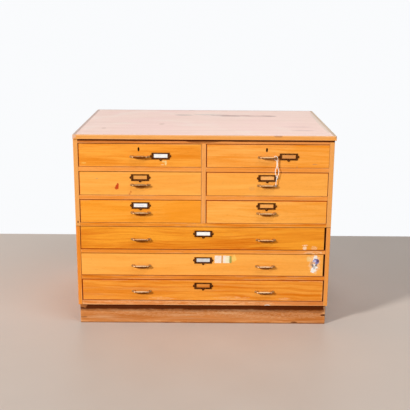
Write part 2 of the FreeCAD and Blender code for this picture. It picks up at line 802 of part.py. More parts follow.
def small_drawers():
    """Two columns of three; the top row's holders stand beside the handles, the others above them."""
    columns = (("left", LEFT_BAY, LEFT_COLUMN_X), ("right", RIGHT_BAY, RIGHT_COLUMN_X))
    rows = ((1, SMALL_1_Z, SMALL_1_H), (2, SMALL_2_Z, SMALL_2_H), (3, SMALL_3_Z, SMALL_3_H))
    beside = s.handle_posts / 2 + s.lug_reach + s.holder_gap + HOLDER_HALF
    for side, bay, x in columns:
        for row, level, height in rows:
            d = drawer_plan(f"drawer_{side}_{row}", bay, level, height, (x,))
            d.holder_at = (x, d.handle_z + s.holder_rise)
            if row == 1:
                d.holder_at = (x + beside, d.handle_z + s.holder_lift)
                d.lock_x = x - s.key_offset
            yield d


def wide_drawers():
    """Three full-width drawers with a handle under each column and the holder in the middle."""
    rows = ((1, WIDE_1_Z, WIDE_1_H), (2, WIDE_2_Z, WIDE_2_H), (3, WIDE_3_Z, WIDE_3_H))
    for row, level, height in rows:
        d = drawer_plan(f"drawer_wide_{row}", WIDE_BAY, level, height, (LEFT_COLUMN_X, RIGHT_COLUMN_X))
        d.holder_at = (d.middle_x, d.middle_z + s.wide_holder_rise)
        yield d


# String: one strand over the right top handle's post, with a loop and a tail below

# Points across and down from the post's centre, from the tail's end to the other end
STRING_POINTS = (
    (8.5, -139),
    (9.0, -118),
    (10.5, -96),
    (7.5, -80),
    (0.5, -64),
    (6.0, -44),
    (5.6, -24),
    (-6.0, -12),
    (-6.0, 6.0),
    (6.0, 6.0),
    (10.4, -8),
    (9.8, -26),
    (11.0, -46),
    (19.5, -64),
    (14.0, -80),
    (14.6, -92),
)
RUN_SHARE = 0.45


def tangent_path(points):
    """Straight runs joined by arcs, each as large as its two runs allow."""
    edges = []
    radii = []
    start = points[0]
    for before, corner, after in zip(points, points[1:], points[2:]):
        back = (before - corner)
        ahead = (after - corner)
        tangent = RUN_SHARE * min(back.Length, ahead.Length)
        back.normalize()
        ahead.normalize()
        turn = math.pi - back.getAngle(ahead)
        radius = tangent / math.tan(turn / 2)
        first = corner + back * tangent
        last = corner + ahead * tangent
        inward = back + ahead
        inward.normalize()
        middle = corner + inward * (radius / math.cos(turn / 2) - radius)
        edges.append(Part.LineSegment(start, first).toShape())
        edges.append(Part.Arc(first, middle, last).toShape())
        radii.append(radius)
        start = last
    edges.append(Part.LineSegment(start, points[-1]).toShape())
    return Part.Wire(edges), radii


def make_string(d):
    post_x = number(d.handle_xs[0] + s.handle_posts / 2)
    post_z = number(d.handle_z)
    y = number(FRONT_Y - s.string_out)
    radius = number(s.string_r)
    points = [FreeCAD.Vector(post_x + across, y, post_z + up) for across, up in STRING_POINTS]
    path, radii = tangent_path(points)
    profile = Part.Wire([Part.Circle(points[0], points[1] - points[0], radius).toShape()])
    tube = path.makePipeShell([profile], True, False)
    expected = math.pi * radius**2 * path.Length
    print("string length", round(path.Length, 1), "radii", [round(r, 1) for r in radii])
    print("string volume", round(tube.Volume, 1), "section times length", round(expected, 1))
    obj = doc.addObject("Part::Feature", "string_tube")
    obj.Shape = tube
    keep(obj, "string")


# The whole chest

WITH_CARDS = ("drawer_left_1", "drawer_left_3", "drawer_wide_1", "drawer_wide_2")
WITH_STRING = "drawer_right_1"


def check_document():
    doc.recompute()
    for obj in doc.Objects:
        if "Invalid" in obj.State or "Error" in obj.State:
            raise RuntimeError(f"{obj.Label} failed: {obj.State}")
    for obj in subparts:
        if obj.Shape.isNull() or not obj.Shape.isValid():
            raise RuntimeError(f"{obj.Label} has no valid shape")


def write_parts():
    os.makedirs("parts", exist_ok=True)
    for obj in subparts:
        obj.Shape.exportStep(f"parts/{obj.Label}.step")


drawers = list(small_drawers()) + list(wide_drawers())
make_top()
make_upper_unit([d.lock_x for d in drawers if d.lock_x])
make_lower_unit()
make_rails_and_runners()
make_plinth()
for drawer in drawers:
    make_drawer(drawer, drawer.name in WITH_CARDS)
    if drawer.name == WITH_STRING:
        make_string(drawer)
check_document()
write_parts()
print("sub-parts", len(subparts))
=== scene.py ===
# Plan chest: finishes, wear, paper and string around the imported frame.
# Metres, +Z up, the drawers open towards -Y.
import math
import random
from collections import namedtuple

import bmesh
import bpy
from mathutils import Matrix, Vector


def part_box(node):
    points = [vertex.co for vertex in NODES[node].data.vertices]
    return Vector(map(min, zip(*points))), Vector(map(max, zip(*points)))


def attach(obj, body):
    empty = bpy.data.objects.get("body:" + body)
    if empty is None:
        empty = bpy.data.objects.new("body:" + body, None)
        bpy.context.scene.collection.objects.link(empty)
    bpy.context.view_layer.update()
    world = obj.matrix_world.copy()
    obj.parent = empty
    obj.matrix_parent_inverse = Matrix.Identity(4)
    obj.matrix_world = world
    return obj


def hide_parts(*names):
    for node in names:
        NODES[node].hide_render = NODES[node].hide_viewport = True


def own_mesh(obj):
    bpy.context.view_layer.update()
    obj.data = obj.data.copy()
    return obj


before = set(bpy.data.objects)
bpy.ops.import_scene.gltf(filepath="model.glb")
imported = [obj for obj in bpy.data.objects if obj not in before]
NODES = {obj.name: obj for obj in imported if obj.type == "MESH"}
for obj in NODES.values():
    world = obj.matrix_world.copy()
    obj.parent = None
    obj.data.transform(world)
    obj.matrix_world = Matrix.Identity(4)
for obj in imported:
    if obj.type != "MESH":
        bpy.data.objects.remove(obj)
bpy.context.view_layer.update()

MM = 0.001
SAME_POINT = 0.001 * MM
FRONT_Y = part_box("drawer_left_1_front")[0].y
TOP_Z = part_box("top_panel")[1].z

# Widths of the boards that share one CAD node as a ring
LIP_FRONT_W = 6 * MM
LIP_BACK_W = 12 * MM
LIP_SIDE_W = 14 * MM
PLINTH_BOARD_T = 20 * MM

# How far the edges of boards are eased, and in how many steps
ARRIS = 1.2 * MM
THIN_ARRIS = 0.6 * MM
BOX_ARRIS = 0.8 * MM
RUNNER_ARRIS = 1 * MM
PLINTH_ARRIS = 2.5 * MM
EASE_STEPS = 3

# Handles: how far their ends, posts and grip ends are from the middle, and how thick their lugs are
HALF_HANDLE = 47.7 * MM
POST_X = 35 * MM
GRIP_END = 28 * MM
LUG_T = 3 * MM

# Keyholes: half their width, half the straight run of their sides, how far below a front's top edge they
# are, and half the size of the dark patch round them, of dirt and painted shade
KEYHOLE_HALF_W = 3.25 * MM
KEYHOLE_HALF_RUN = 5.25 * MM
KEYHOLE_DROP = 25 * MM
KEYHOLE_DARK_W = 5.5 * MM
KEYHOLE_DARK_H = 12 * MM

# How far a board's grain is shifted at most, each way, so that no two boards match
GRAIN_SHIFT = 9

# Half the size of a mark that goes right through a board, and of one that runs along all of it
THROUGH = 1.0
ENDLESS = 20.0

# Which axes run along, across and through a board, by the way its grain runs
ALONG_X_UPRIGHT = "xzy"
ALONG_X_FLAT = "xyz"
ALONG_Y_UPRIGHT = "yzx"
ALONG_Y_FLAT = "yxz"
ALONG_Z = "zyx"

# Which faces of a board look into a gap and take painted shade: all but its front and back, or those that
# face one way
EDGE_FACES = None
LEFTWARD = (-1, 0, 0)
RIGHTWARD = (1, 0, 0)
DOWNWARD = (0, 0, -1)

# A wood: its light and dark tone and how strong its flame figure is
Wood = namedtuple("Wood", "light dark figure")
# How a board was treated: rubbed edges, how far they reach, scuffs and dirt
Care = namedtuple("Care", "wear reach scuffs grime")
# A mark on a board: where, half its size, its colour, how strong, how torn, how finely torn each way,
# and how much of it is broken up into streaks
Mark = namedtuple("Mark", "centre size paint amount ragged fine broken", defaults=[0.0])
# A chip knocked out of a board: where and half its size
Chip = namedtuple("Chip", "centre size")
# A board's finish: the way its grain runs, its wood, care, marks and chips, how far its edges are eased,
# and which of its faces look into a gap and take painted shade
FINISH_PARTS = "axes wood care marks chips arris facing"
Finish = namedtuple("Finish", FINISH_PARTS, defaults=[(), (), ARRIS, EDGE_FACES])
# A metal: its bright and tarnished tone, how far it is tarnished, and how rough it is where bright and
# where tarnished; the tarnish also paints shade on the faces that look down
Metal = namedtuple("Metal", "bright dull tarnish polished tarnished")
# A drawer's look: its front's wood and care; how strong the painted shadow below its grips is; the lines
# along its left, right, top and bottom edges, of painted gap shade or, below zero, of painted light; how
# far up its grips the tarnish comes, with painted shade under them, and the tone of their brass; the marks
# and chips of its front; the paint and strength of the patch in an empty label holder; and the clean and
# soiled tone of its label card
LOOK_PARTS = "wood care fingered lines tarnish brass marks chips patch card"
Look = namedtuple("Look", LOOK_PARTS, defaults=[(), (), None, None])


def mm(*lengths):
    return tuple(length * MM for length in lengths)


def middle_of(node):
    low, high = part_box(node)
    return (low + high) / 2


# Camera


def make_camera():
    """The photograph's eye: a little above the chest and square to it."""
    eye = Vector((0.0042, -3.9854, 1.5256))
    pitch = math.radians(14.459)
    roll = math.radians(0.388)
    forward = Vector((0, math.cos(pitch), -math.sin(pitch)))
    level = Vector((1, 0, 0))
    above = level.cross(forward)
    right = level * math.cos(roll) + above * math.sin(roll)
    up = above * math.cos(roll) - level * math.sin(roll)
    data = bpy.data.cameras.new("eye")
    data.sensor_width = 36
    data.lens = 68.41
    camera = bpy.data.objects.new("eye", data)
    bpy.context.scene.collection.objects.link(camera)
    turn = Matrix((right, up, -forward)).transposed().to_4x4()
    camera.matrix_world = Matrix.Translation(eye) @ turn
    bpy.context.scene.camera = camera


# Node trees

# Where a mix node keeps its factor, its two inputs and its output, by what it mixes
MIX_SOCKETS = {"RGBA": (0, 6, 7, 2), "VECTOR": (0, 4, 5, 1)}


class Bench:
    """Adds nodes to one node tree, and links or sets their inputs."""

    def __init__(self, tree):
        self.tree = tree

    def give(self, socket, value):
        """Link a socket to another, or set its value. A colour is given as red, green and blue."""
        if isinstance(value, bpy.types.NodeSocket):
            self.tree.links.new(value, socket)
        elif socket.type == "RGBA":
            socket.default_value = (*value, 1.0)
        else:
            socket.default_value = value

    def add(self, kind, inputs=None, **settings):
        node = self.tree.nodes.new(kind)
        for key, value in settings.items():
            setattr(node, key, value)
        for key, value in (inputs or {}).items():
            self.give(node.inputs[key], value)
        return node

    def use(self, group, **inputs):
        """Place a shared node group and return its outputs."""
        return self.add("ShaderNodeGroup", inputs, node_tree=group).outputs

    def math(self, operation, first, second=0.0, clamp=False):
        node = self.add("ShaderNodeMath", {0: first, 1: second}, operation=operation, use_clamp=clamp)
        return node.outputs[0]

    def plus(self, first, second, clamp=False):
        return self.math("ADD", first, second, clamp)

    def minus(self, first, second, clamp=False):
        return self.math("SUBTRACT", first, second, clamp)

    def times(self, first, second, clamp=False):
        return self.math("MULTIPLY", first, second, clamp)

    def most(self, first, second):
        return self.math("MAXIMUM", first, second)

    def least(self, first, second):
        return self.math("MINIMUM", first, second)

    def apart(self, first, second):
        return self.math("ABSOLUTE", self.minus(first, second))

    def vector(self, operation, first, second):
        node = self.add("ShaderNodeVectorMath", {0: first, 1: second}, operation=operation)
        return node.outputs["Value" if operation == "DOT_PRODUCT" else "Vector"]

    def length(self, vector):
        return self.add("ShaderNodeVectorMath", {0: vector}, operation="LENGTH").outputs["Value"]

    def split(self, vector):
        return self.add("ShaderNodeSeparateXYZ", {0: vector}).outputs

    def join(self, x, y, z):
        return self.add("ShaderNodeCombineXYZ", {0: x, 1: y, 2: z}).outputs[0]

    def noise(self, vector, scale=1.0, detail=2.0, roughness=0.5):
        inputs = {"Vector": vector, "Scale": scale, "Detail": detail, "Roughness": roughness}
        return self.add("ShaderNodeTexNoise", inputs).outputs["Fac"]

    def drawn_out(self, grain, rate, detail=2.0, roughness=0.5):
        """Noise drawn out along the grain: rate is how often it changes in a metre each way."""
        return self.noise(self.vector("MULTIPLY", grain, rate), detail=detail, roughness=roughness)

    def span(self, value, low, high, out_low=0.0, out_high=1.0):
        """Low to high becomes out_low to out_high, eased at both ends."""
        inputs = {"Value": value, "From Min": low, "From Max": high, "To Min": out_low, "To Max": out_high}
        return self.add("ShaderNodeMapRange", inputs, interpolation_type="SMOOTHSTEP").outputs["Result"]

    def blend(self, factor, first, second, mode="MIX", kind="RGBA"):
        """Mix two colours, or two vectors."""
        node = self.add("ShaderNodeMix", data_type=kind, blend_type=mode)
        *entries, out = MIX_SOCKETS[kind]
        for entry, value in zip(entries, (factor, first, second)):
            self.give(node.inputs[entry], value)
        return node.outputs[out]


# What the groups' sockets hold, where it isn't a plain number
SOCKET_KINDS = {
    **dict.fromkeys(("Position", "Low", "High", "Grain", "Centre", "Size", "Fine"), "NodeSocketVector"),
    **dict.fromkeys(("Color", "Bare", "Light", "Dark"), "NodeSocketColor"),
}


def new_group(name, inputs, outputs):
    """An empty node group. Returns its bench and the sockets that it is given."""
    group = bpy.data.node_groups.new(name, "ShaderNodeTree")
    for in_out, labels in (("INPUT", inputs), ("OUTPUT", outputs)):
        for label in labels.split():
            kind = SOCKET_KINDS.get(label, "NodeSocketFloat")
            group.interface.new_socket(name=label, in_out=in_out, socket_type=kind)
    bench = Bench(group)
    given = bench.add("NodeGroupInput").outputs
    return bench, *(given[label] for label in inputs.split())


def close_group(bench, **made):
    """Send out what a group makes. Returns the group."""
    bench.add("NodeGroupOutput", made)
    return bench.tree


def edge_reach_group():
    """How far a point on a square-cut board is from the board's nearest edge."""
    bench, position, low, high = new_group("edge_reach", "Position Low High", "Distance")
    from_low = bench.vector("SUBTRACT", position, low)
    from_high = bench.vector("SUBTRACT", high, position)
    x, y, z = bench.split(bench.vector("MINIMUM", from_low, from_high))
    second = bench.most(bench.least(x, y), bench.least(bench.most(x, y), z))
    return close_group(bench, Distance=second)


def plank_grain_group():
    """Figure of a varnished plank. Grain runs along the vector's x, in metres."""
    inputs, outputs = "Grain Figure Light Dark", "Color Height Streak"
    bench, grain, figure, light, dark = new_group("plank_grain", inputs, outputs)
    wander_rate, band_rate, streak_rate = (1.6, 4.0, 4.0), (2.2, 30.0, 30.0), (4.5, 170.0, 130.0)
    pore_rate, flame_rate, ring_rate = (60.0, 1400.0, 1400.0), (0.9, 7.0, 7.0), (0.16, 1.0, 0.45)
    bow, ring_sharpness, streak_height = 0.07, 2.2, 0.6
    band_share, streak_share, pore_share = 0.46, 0.36, 0.22
    pore_tone = (0.25, 0.09, 0.02)
    along, across, deep = bench.split(grain)
    drift = bench.times(bench.minus(bench.drawn_out(grain, wander_rate), 0.5), bow)
    bowed = bench.join(along, bench.plus(across, drift), deep)
    bands = bench.span(bench.drawn_out(bowed, band_rate, 4.0, 0.58), 0.38, 0.62)
    streak = bench.drawn_out(bowed, streak_rate, 4.0, 0.62)
    pores = bench.span(bench.drawn_out(bowed, pore_rate, 1.0), 0.60, 0.74)
    wave = {
        "Vector": bench.vector("MULTIPLY", bowed, ring_rate),
        "Scale": 13.0,
        "Distortion": 9.0,
        "Detail": 3.0,
        "Detail Scale": 1.1,
        "Detail Roughness": 0.6,
    }
    rings = bench.add("ShaderNodeTexWave", wave, bands_direction="Y").outputs["Fac"]
    flamed = bench.span(bench.drawn_out(grain, flame_rate), 0.42, 0.60)
    late = bench.times(bench.times(bench.math("POWER", rings, ring_sharpness), flamed), figure)
    streaks = bench.times(bench.span(streak, 0.34, 0.68), streak_share)
    tone = bench.plus(bench.plus(bench.times(bands, band_share), streaks), late, clamp=True)
    body = bench.blend(tone, light, dark)
    pored = bench.blend(bench.times(pores, pore_share), body, pore_tone, "MULTIPLY")
    height = bench.minus(bench.times(streak, streak_height), pores)
    return close_group(bench, Color=pored, Height=height, Streak=streak)


def rubbed_edges_group():
    """Varnish rubbed off along a board's edges, in streaks along the grain, down to paler bare wood."""
    inputs = "Color Bare Grain Distance Reach Amount"
    bench, base, bare, grain, distance, reach, amount = new_group("rubbed_edges", inputs, "Color Mask")
    torn_rate, patch_rate = (16.0, 150.0, 150.0), (3.5, 12.0, 12.0)
    torn = bench.drawn_out(grain, torn_rate, 4.0, 0.65)
    patchy = bench.span(bench.drawn_out(grain, patch_rate), 0.40, 0.62, 0.2, 1.0)
    torn_reach = bench.times(reach, bench.span(torn, 0.30, 0.72, 0.1, 2.0))
    near = bench.minus(1.0, bench.math("DIVIDE", distance, torn_reach), clamp=True)
    mask = bench.times(bench.times(near, patchy), amount, clamp=True)
    return close_group(bench, Color=bench.blend(mask, base, bare), Mask=mask)


def scuffs_group():
    """Long broken scuffs along the grain, down to paler wood."""
    bench, base, bare, grain, amount = new_group("scuffs", "Color Bare Grain Amount", "Color")
    scuff_rate, patch_rate = (3.0, 45.0, 45.0), (2.0, 9.0, 9.0)
    scuffed = bench.span(bench.drawn_out(grain, scuff_rate, 5.0, 0.68), 0.46, 0.74)
    patchy = bench.span(bench.drawn_out(grain, patch_rate, 1.0), 0.38, 0.62, 0.2, 1.0)
    mask = bench.times(bench.times(scuffed, patchy), amount, clamp=True)
    return close_group(bench, Color=bench.blend(mask, base, bare))


def grime_and_gap_shade_group():
    """Brown dirt along the very edges and in small specks all over, and painted shade on the faces that
    look into a gap.
    """
    inputs = "Color Position Distance Hidden Amount"
    bench, base, position, distance, hidden, amount = new_group("grime_and_gap_shade", inputs, "Color Mask")
    line_w, film_scale, speck_scale, speck_size = 2.2 * MM, 30.0, 26.0, 0.075
    # The last two: the strength and the colour of the painted shade in the gaps
    speck_share, gap_share, gap_shade = 0.55, 0.97, (0.22, 0.014, 0.0005)
    film = bench.span(bench.noise(position, film_scale, detail=3.0), 0.35, 0.65, 0.1, 0.7)
    line = bench.times(bench.span(distance, 0.0, line_w, 1.0, 0.0), film)
    cells = bench.add("ShaderNodeTexVoronoi", {"Vector": position, "Scale": speck_scale}).outputs
    size = bench.span(bench.split(cells["Color"])[0], 0.86, 1.0, 0.0, speck_size)
    specks = bench.times(bench.math("LESS_THAN", cells["Distance"], size), speck_share)
    mask = bench.times(bench.most(line, specks), amount, clamp=True)
    # Painted shade: the faces that look into a gap take the dark red-brown of the gap's shade
    mask = bench.most(mask, bench.times(hidden, gap_share))
    return close_group(bench, Color=bench.blend(mask, base, gap_shade), Mask=mask)


def ragged_patch_group():
    """A mark with a torn outline, round a centre, that can be broken up into streaks."""
    inputs = "Position Centre Size Ragged Fine Broken"
    bench, position, centre, size, ragged, fine, broken = new_group("ragged_patch", inputs, "Mask")
    finer = (2.3, 2.3, 2.3)
    away = bench.length(bench.vector("DIVIDE", bench.vector("SUBTRACT", position, centre), size))
    torn = bench.times(bench.minus(bench.drawn_out(position, fine, 4.0, 0.65), 0.5), ragged)
    whole = bench.span(bench.plus(away, torn), 0.70, 1.0, 1.0, 0.0)
    gap_rate = bench.vector("MULTIPLY", fine, finer)
    gaps = bench.span(bench.drawn_out(position, gap_rate, 3.0, 0.7), 0.44, 0.62, 1.0, 0.0)
    left = bench.minus(1.0, bench.times(gaps, broken), clamp=True)
    return close_group(bench, Mask=bench.times(whole, left))


def tarnish_and_shade_group():
    """Brown tarnish on a metal fitting, in patches, and painted shade: more of the brown on faces that look
    down and less on faces that look up.
    """
    bench, position, up, amount = new_group("tarnish", "Position Up Amount", "Mask Height")
    cloud_scale, pit_scale, pit_share = 140.0, 900.0, 0.5
    cloud = bench.noise(position, cloud_scale, detail=4.0, roughness=0.6)
    pits = bench.times(bench.noise(position, pit_scale), pit_share)
    # Taking away Up paints shade below and light on top
    mask = bench.span(bench.minus(bench.plus(cloud, amount), up), 0.70, 1.15)
    return close_group(bench, Mask=mask, Height=bench.plus(pits, cloud))


EDGE_REACH = edge_reach_group()
PLANK_GRAIN = plank_grain_group()
RUBBED_EDGES = rubbed_edges_group()
SCUFFS = scuffs_group()
GRIME_AND_GAP_SHADE = grime_and_gap_shade_group()
RAGGED_PATCH = ragged_patch_group()
TARNISH_AND_SHADE = tarnish_and_shade_group()


# Woods, paints, dirt and metals

FLAMED = Wood((0.93, 0.375, 0.032), (0.61, 0.122, 0.001), 0.45)
STREAKY = Wood((0.97, 0.400, 0.055), (0.74, 0.200, 0.004), 0.30)
EVEN = Wood((0.97, 0.445, 0.088), (0.90, 0.345, 0.048), 0.10)
DEEP = Wood((0.92, 0.370, 0.052), (0.70, 0.185, 0.006), 0.35)
RIPPLED = Wood((0.98, 0.445, 0.098), (0.81, 0.240, 0.010), 0.38)
GENTLE = Wood((0.98, 0.460, 0.095), (0.88, 0.320, 0.034), 0.22)
CALM = Wood((0.96, 0.385, 0.045), (0.84, 0.275, 0.012), 0.12)
STILE_WOOD = Wood((0.90, 0.40, 0.110), (0.77, 0.28, 0.055), 0.20)
SIDE_WOOD = Wood((0.88, 0.31, 0.045), (0.74, 0.215, 0.018), 0.25)
RAIL_WOOD = Wood((0.92, 0.370, 0.084), (0.80, 0.260, 0.032), 0.25)
MIDDLE_RAIL_WOOD = Wood((0.90, 0.335, 0.058), (0.74, 0.220, 0.016), 0.30)
LOW_RAIL_WOOD = Wood((0.84, 0.285, 0.036), (0.62, 0.155, 0.004), 0.35)
DULL_WOOD = Wood((0.78, 0.275, 0.072), (0.60, 0.170, 0.024), 0.30)
PLINTH_WOOD = Wood((0.66, 0.255, 0.075), (0.46, 0.140, 0.024), 0.35)
LIP_WOOD = Wood((0.86, 0.39, 0.105), (0.77, 0.31, 0.068), 0.20)
BACK_WOOD = Wood((0.66, 0.40, 0.19), (0.52, 0.28, 0.11), 0.50)
BOX_WOOD = Wood((0.74, 0.54, 0.31), (0.60, 0.39, 0.19), 0.30)
RUNNER_WOOD = Wood((0.72, 0.50, 0.28), (0.58, 0.36, 0.17), 0.30)
# Paler than the wood is: its scrubbed wear, and a painted sheen of light off the top's varnish
TOP_WOOD = Wood((0.97, 0.70, 0.605), (0.88, 0.60, 0.505), 0.12)

BARE_WOOD = (0.88, 0.47, 0.20)
FADED = (0.82, 0.375, 0.105)
PALE_RUBBED = (0.80, 0.66, 0.55)
BEIGE_RUBBED = (0.66, 0.54, 0.42)
LILAC_RUBBED = (0.62, 0.50, 0.47)
ROSY = (0.97, 0.67, 0.65)
CHALKY = (0.97, 0.86, 0.76)
DUST = (0.42, 0.30, 0.19)
RED_PAINT = (0.55, 0.05, 0.012)
GLUE = (0.84, 0.66, 0.30)
LEMON = (0.92, 0.62, 0.16)
CHALK = (0.95, 0.68, 0.42)
SPLASH = (0.97, 0.83, 0.64)
RIPENED = (0.87, 0.29, 0.014)
SCRAPED = (0.90, 0.49, 0.23)
# Dark brown dirt; bands of it also paint shade under the top, in the gaps and above the plinth
DIRT = (0.080, 0.012, 0.001)
# Painted shade of the gaps round the fronts
EDGE_SHADE = (0.60, 0.090, 0.001)
# Painted shadow below the grips
GRIP_SHADOW_TONE = (0.24, 0.055, 0.006)
# Painted light, to lighten a front's edge where the gap shade is too strong
EDGE_LIGHT = (0.82, 0.300, 0.030)
GREY_SMUDGE = (0.27, 0.22, 0.19)
BROWN_SMUDGE = (0.44, 0.22, 0.12)
PURPLE_SMUDGE = (0.42, 0.19, 0.16)
DARK_SMUDGE = (0.26, 0.10, 0.075)
SCUFF = (0.74, 0.43, 0.22)
FIBRE = (0.60, 0.58, 0.54)
RULED_LINE = (0.42, 0.46, 0.70)

BRASS = (0.56, 0.34, 0.16)
DULL_BRASS = (0.42, 0.27, 0.13)
BRIGHT_BRASS = (0.64, 0.43, 0.24)
FOOT_BRASS = (0.52, 0.29, 0.10)
# Tarnish brown, which also paints the shade below the grips
BRASS_TARNISH = (0.18, 0.050, 0.005)
BRONZE = Metal((0.22, 0.080, 0.022), (0.070, 0.018, 0.003), 0.52, 0.36, 0.55)
IRON = Metal((0.08, 0.018, 0.005), (0.04, 0.008, 0.002), 0.60, 0.50, 0.65)
STEEL = Metal((0.30, 0.14, 0.06), (0.05, 0.006, 0.001), 0.62, 0.42, 0.70)

FRONT_CARE = Care(0.40, 4 * MM, 0.05, 0.5)
WORN_CARE = Care(0.60, 6 * MM, 0.20, 0.6)
EDGE_CARE = Care(0.55, 5 * MM, 0.15, 0.5)
RUBBED_CARE = Care(0.90, 10 * MM, 0.55, 0.7)
FOOT_CARE = Care(0.90, 12 * MM, 0.75, 0.9)
KEPT_CARE = Care(0.30, 4 * MM, 0.05, 0.4)


# Finishes


class Coat(Bench):
    """The nodes of one material, round its Principled shader."""

    def __init__(self, name):
        self.material = bpy.data.materials.new(name)
        self.material.use_nodes = True
        super().__init__(self.material.node_tree)
        self.shader = self.tree.nodes["Principled BSDF"].inputs
        place = self.add("ShaderNodeTexCoord").outputs
        self.position = place["Object"]
        self.normal = place["Normal"]

    def cover(self, base, roughness):
        """Set the colour and the roughness."""
        self.give(self.shader["Base Color"], base)
        self.give(self.shader["Roughness"], roughness)

    def relief(self, height, distance, strength=0.6):
        """Raise the surface finely."""
        bump = self.add("ShaderNodeBump", {"Height": height, "Distance": distance, "Strength": strength})
        self.give(self.shader["Normal"], bump.outputs["Normal"])

    def grain_lines(self, axes, seed):
        """The position in a board's own axes, shifted so that no two boards match."""
        draw = random.Random(seed)
        shift = [draw.uniform(-GRAIN_SHIFT, GRAIN_SHIFT) for _ in range(3)]
        parts = dict(zip("xyz", self.split(self.position)))
        return self.vector("ADD", self.join(*(parts[axis] for axis in axes)), shift)

    def plank(self, lines, wood):
        """A wood's figure, its grain along the lines."""
        return self.use(PLANK_GRAIN, Grain=lines, Figure=wood.figure, Light=wood.light, Dark=wood.dark)

    def stain(self, base, marks):
        """Lay marks over a colour, one after another."""
        for mark in marks:
            patch = self.use(
                RAGGED_PATCH,
                Position=self.position,
                Centre=mark.centre,
                Size=mark.size,
                Ragged=mark.ragged,
                Fine=mark.fine,
                Broken=mark.broken,
            )
            base = self.blend(self.times(patch["Mask"], mark.amount), base, mark.paint)
        return base

    def gap_faces(self, facing):
        """The faces that look into a gap, near the front of the chest, where painted shade goes."""
        clean_depth, edge_depth, inner_depth = 5 * MM, 14 * MM, 60 * MM
        if facing is EDGE_FACES:
            ahead = self.split(self.normal)[1]
            turned = self.span(self.times(ahead, ahead), 0.15, 0.60, 1.0, 0.0)
            depth = edge_depth
        else:
            turned = self.most(self.vector("DOT_PRODUCT", self.normal, facing), 0.0)
            depth = inner_depth
        near = self.span(self.split(self.position)[1], FRONT_Y + clean_depth, FRONT_Y + depth, 1.0, 0.0)
        return self.times(turned, near)

    def tarnish(self, metal):
        """A metal with tarnish all over, and more of it on faces that look down as painted shade."""
        up = self.split(self.normal)[2]
        stained = self.use(TARNISH_AND_SHADE, Position=self.position, Up=up, Amount=metal.tarnish)
        base = self.blend(stained["Mask"], metal.bright, metal.dull)
        self.cover(base, self.span(stained["Mask"], 0.0, 1.0, metal.polished, metal.tarnished))
        self.shader["Metallic"].default_value = 1.0
        self.relief(stained["Height"], 0.1 * MM, 0.4)


def board_finish(name, box, finish):
    """Aged varnished wood for one board, worn along that board's own edges, with painted shade on its faces
    that look into a gap.
    """
    bare_roughness, grime_depth, specular = 0.25, 1.5, 0.02
    low, high = box
    care = finish.care
    coat = Coat(name)
    lines = coat.grain_lines(finish.axes, name)
    grain = coat.plank(lines, finish.wood)
    distance = coat.use(EDGE_REACH, Position=coat.position, Low=low, High=high)["Distance"]
    rubbed = coat.use(
        RUBBED_EDGES,
        Color=grain["Color"],
        Bare=BARE_WOOD,
        Grain=lines,
        Distance=distance,
        Reach=care.reach,
        Amount=care.wear,
    )
    scuffed = coat.use(SCUFFS, Color=rubbed["Color"], Bare=SCUFF, Grain=lines, Amount=care.scuffs)
    # Dirt and specks, and painted shade on the faces that look into a gap
    grime_and_shade = coat.use(
        GRIME_AND_GAP_SHADE,
        Color=scuffed["Color"],
        Position=coat.position,
        Distance=distance,
        Hidden=coat.gap_faces(finish.facing),
        Amount=care.grime,
    )
    varnish = coat.span(grain["Streak"], 0.3, 0.7, 0.42, 0.54)
    bare = coat.times(rubbed["Mask"], bare_roughness)
    coat.cover(coat.stain(grime_and_shade["Color"], finish.marks), coat.plus(varnish, bare, clamp=True))
    coat.shader["Specular IOR Level"].default_value = specular
    coat.relief(coat.minus(grain["Height"], coat.times(grime_and_shade["Mask"], grime_depth)), 0.25 * MM)
    return coat.material


# Old stains on the top: x, y and half their size in millimetres, colour, strength, and how ragged they are
TOP_SMUDGES = (
    (-118, 243, 60, 24, GREY_SMUDGE, 0.50, 1.5),
    (150, 226, 170, 30, PURPLE_SMUDGE, 0.60, 1.8),
    (130, 222, 62, 22, DARK_SMUDGE, 0.60, 1.6),
    (300, 222, 100, 20, PURPLE_SMUDGE, 0.60, 1.6),
    (345, 219, 40, 17, DARK_SMUDGE, 0.70, 1.4),
    (20, 262, 90, 16, GREY_SMUDGE, 0.45, 1.6),
    (590, 10, 14, 420, BEIGE_RUBBED, 0.50, 1.2),
    (-215, -88, 18, 18, BROWN_SMUDGE, 0.50, 1.2),
    (-489, -231, 15, 12, BROWN_SMUDGE, 0.60, 1.0),
    (460, -157, 85, 14, PURPLE_SMUDGE, 0.30, 1.6),
    (480, -268, 60, 14, PURPLE_SMUDGE, 0.32, 1.6),
)
SMUDGE_FINE = (14.0, 30.0, 30.0)


def top_finish():
    """The worn top: varnish scrubbed pale, and paler still from a painted sheen, with smudges and old
    stains.
    """
    rosy_share, chalky_share, specular = 0.35, 0.30, 0.06
    smudges = [
        Mark((*mm(x, y), TOP_Z), (*mm(half_w, half_d), THROUGH), *rest, SMUDGE_FINE)
        for x, y, half_w, half_d, *rest in TOP_SMUDGES
    ]
    coat = Coat("scrubbed_top")
    grain = coat.plank(coat.grain_lines(ALONG_X_FLAT, "scrubbed_top"), TOP_WOOD)
    cloud = coat.noise(coat.position, scale=2.2, detail=3.0)
    base = coat.blend(coat.times(coat.span(cloud, 0.45, 0.65), rosy_share), grain["Color"], ROSY)
    chalky = coat.span(coat.noise(coat.position, scale=5.0, detail=4.0), 0.50, 0.72)
    base = coat.blend(coat.times(chalky, chalky_share), base, CHALKY)
    coat.cover(coat.stain(base, smudges), coat.span(cloud, 0.3, 0.7, 0.34, 0.50))
    coat.shader["Specular IOR Level"].default_value = specular
    coat.relief(grain["Height"], 0.2 * MM, 0.5)
    return coat.material


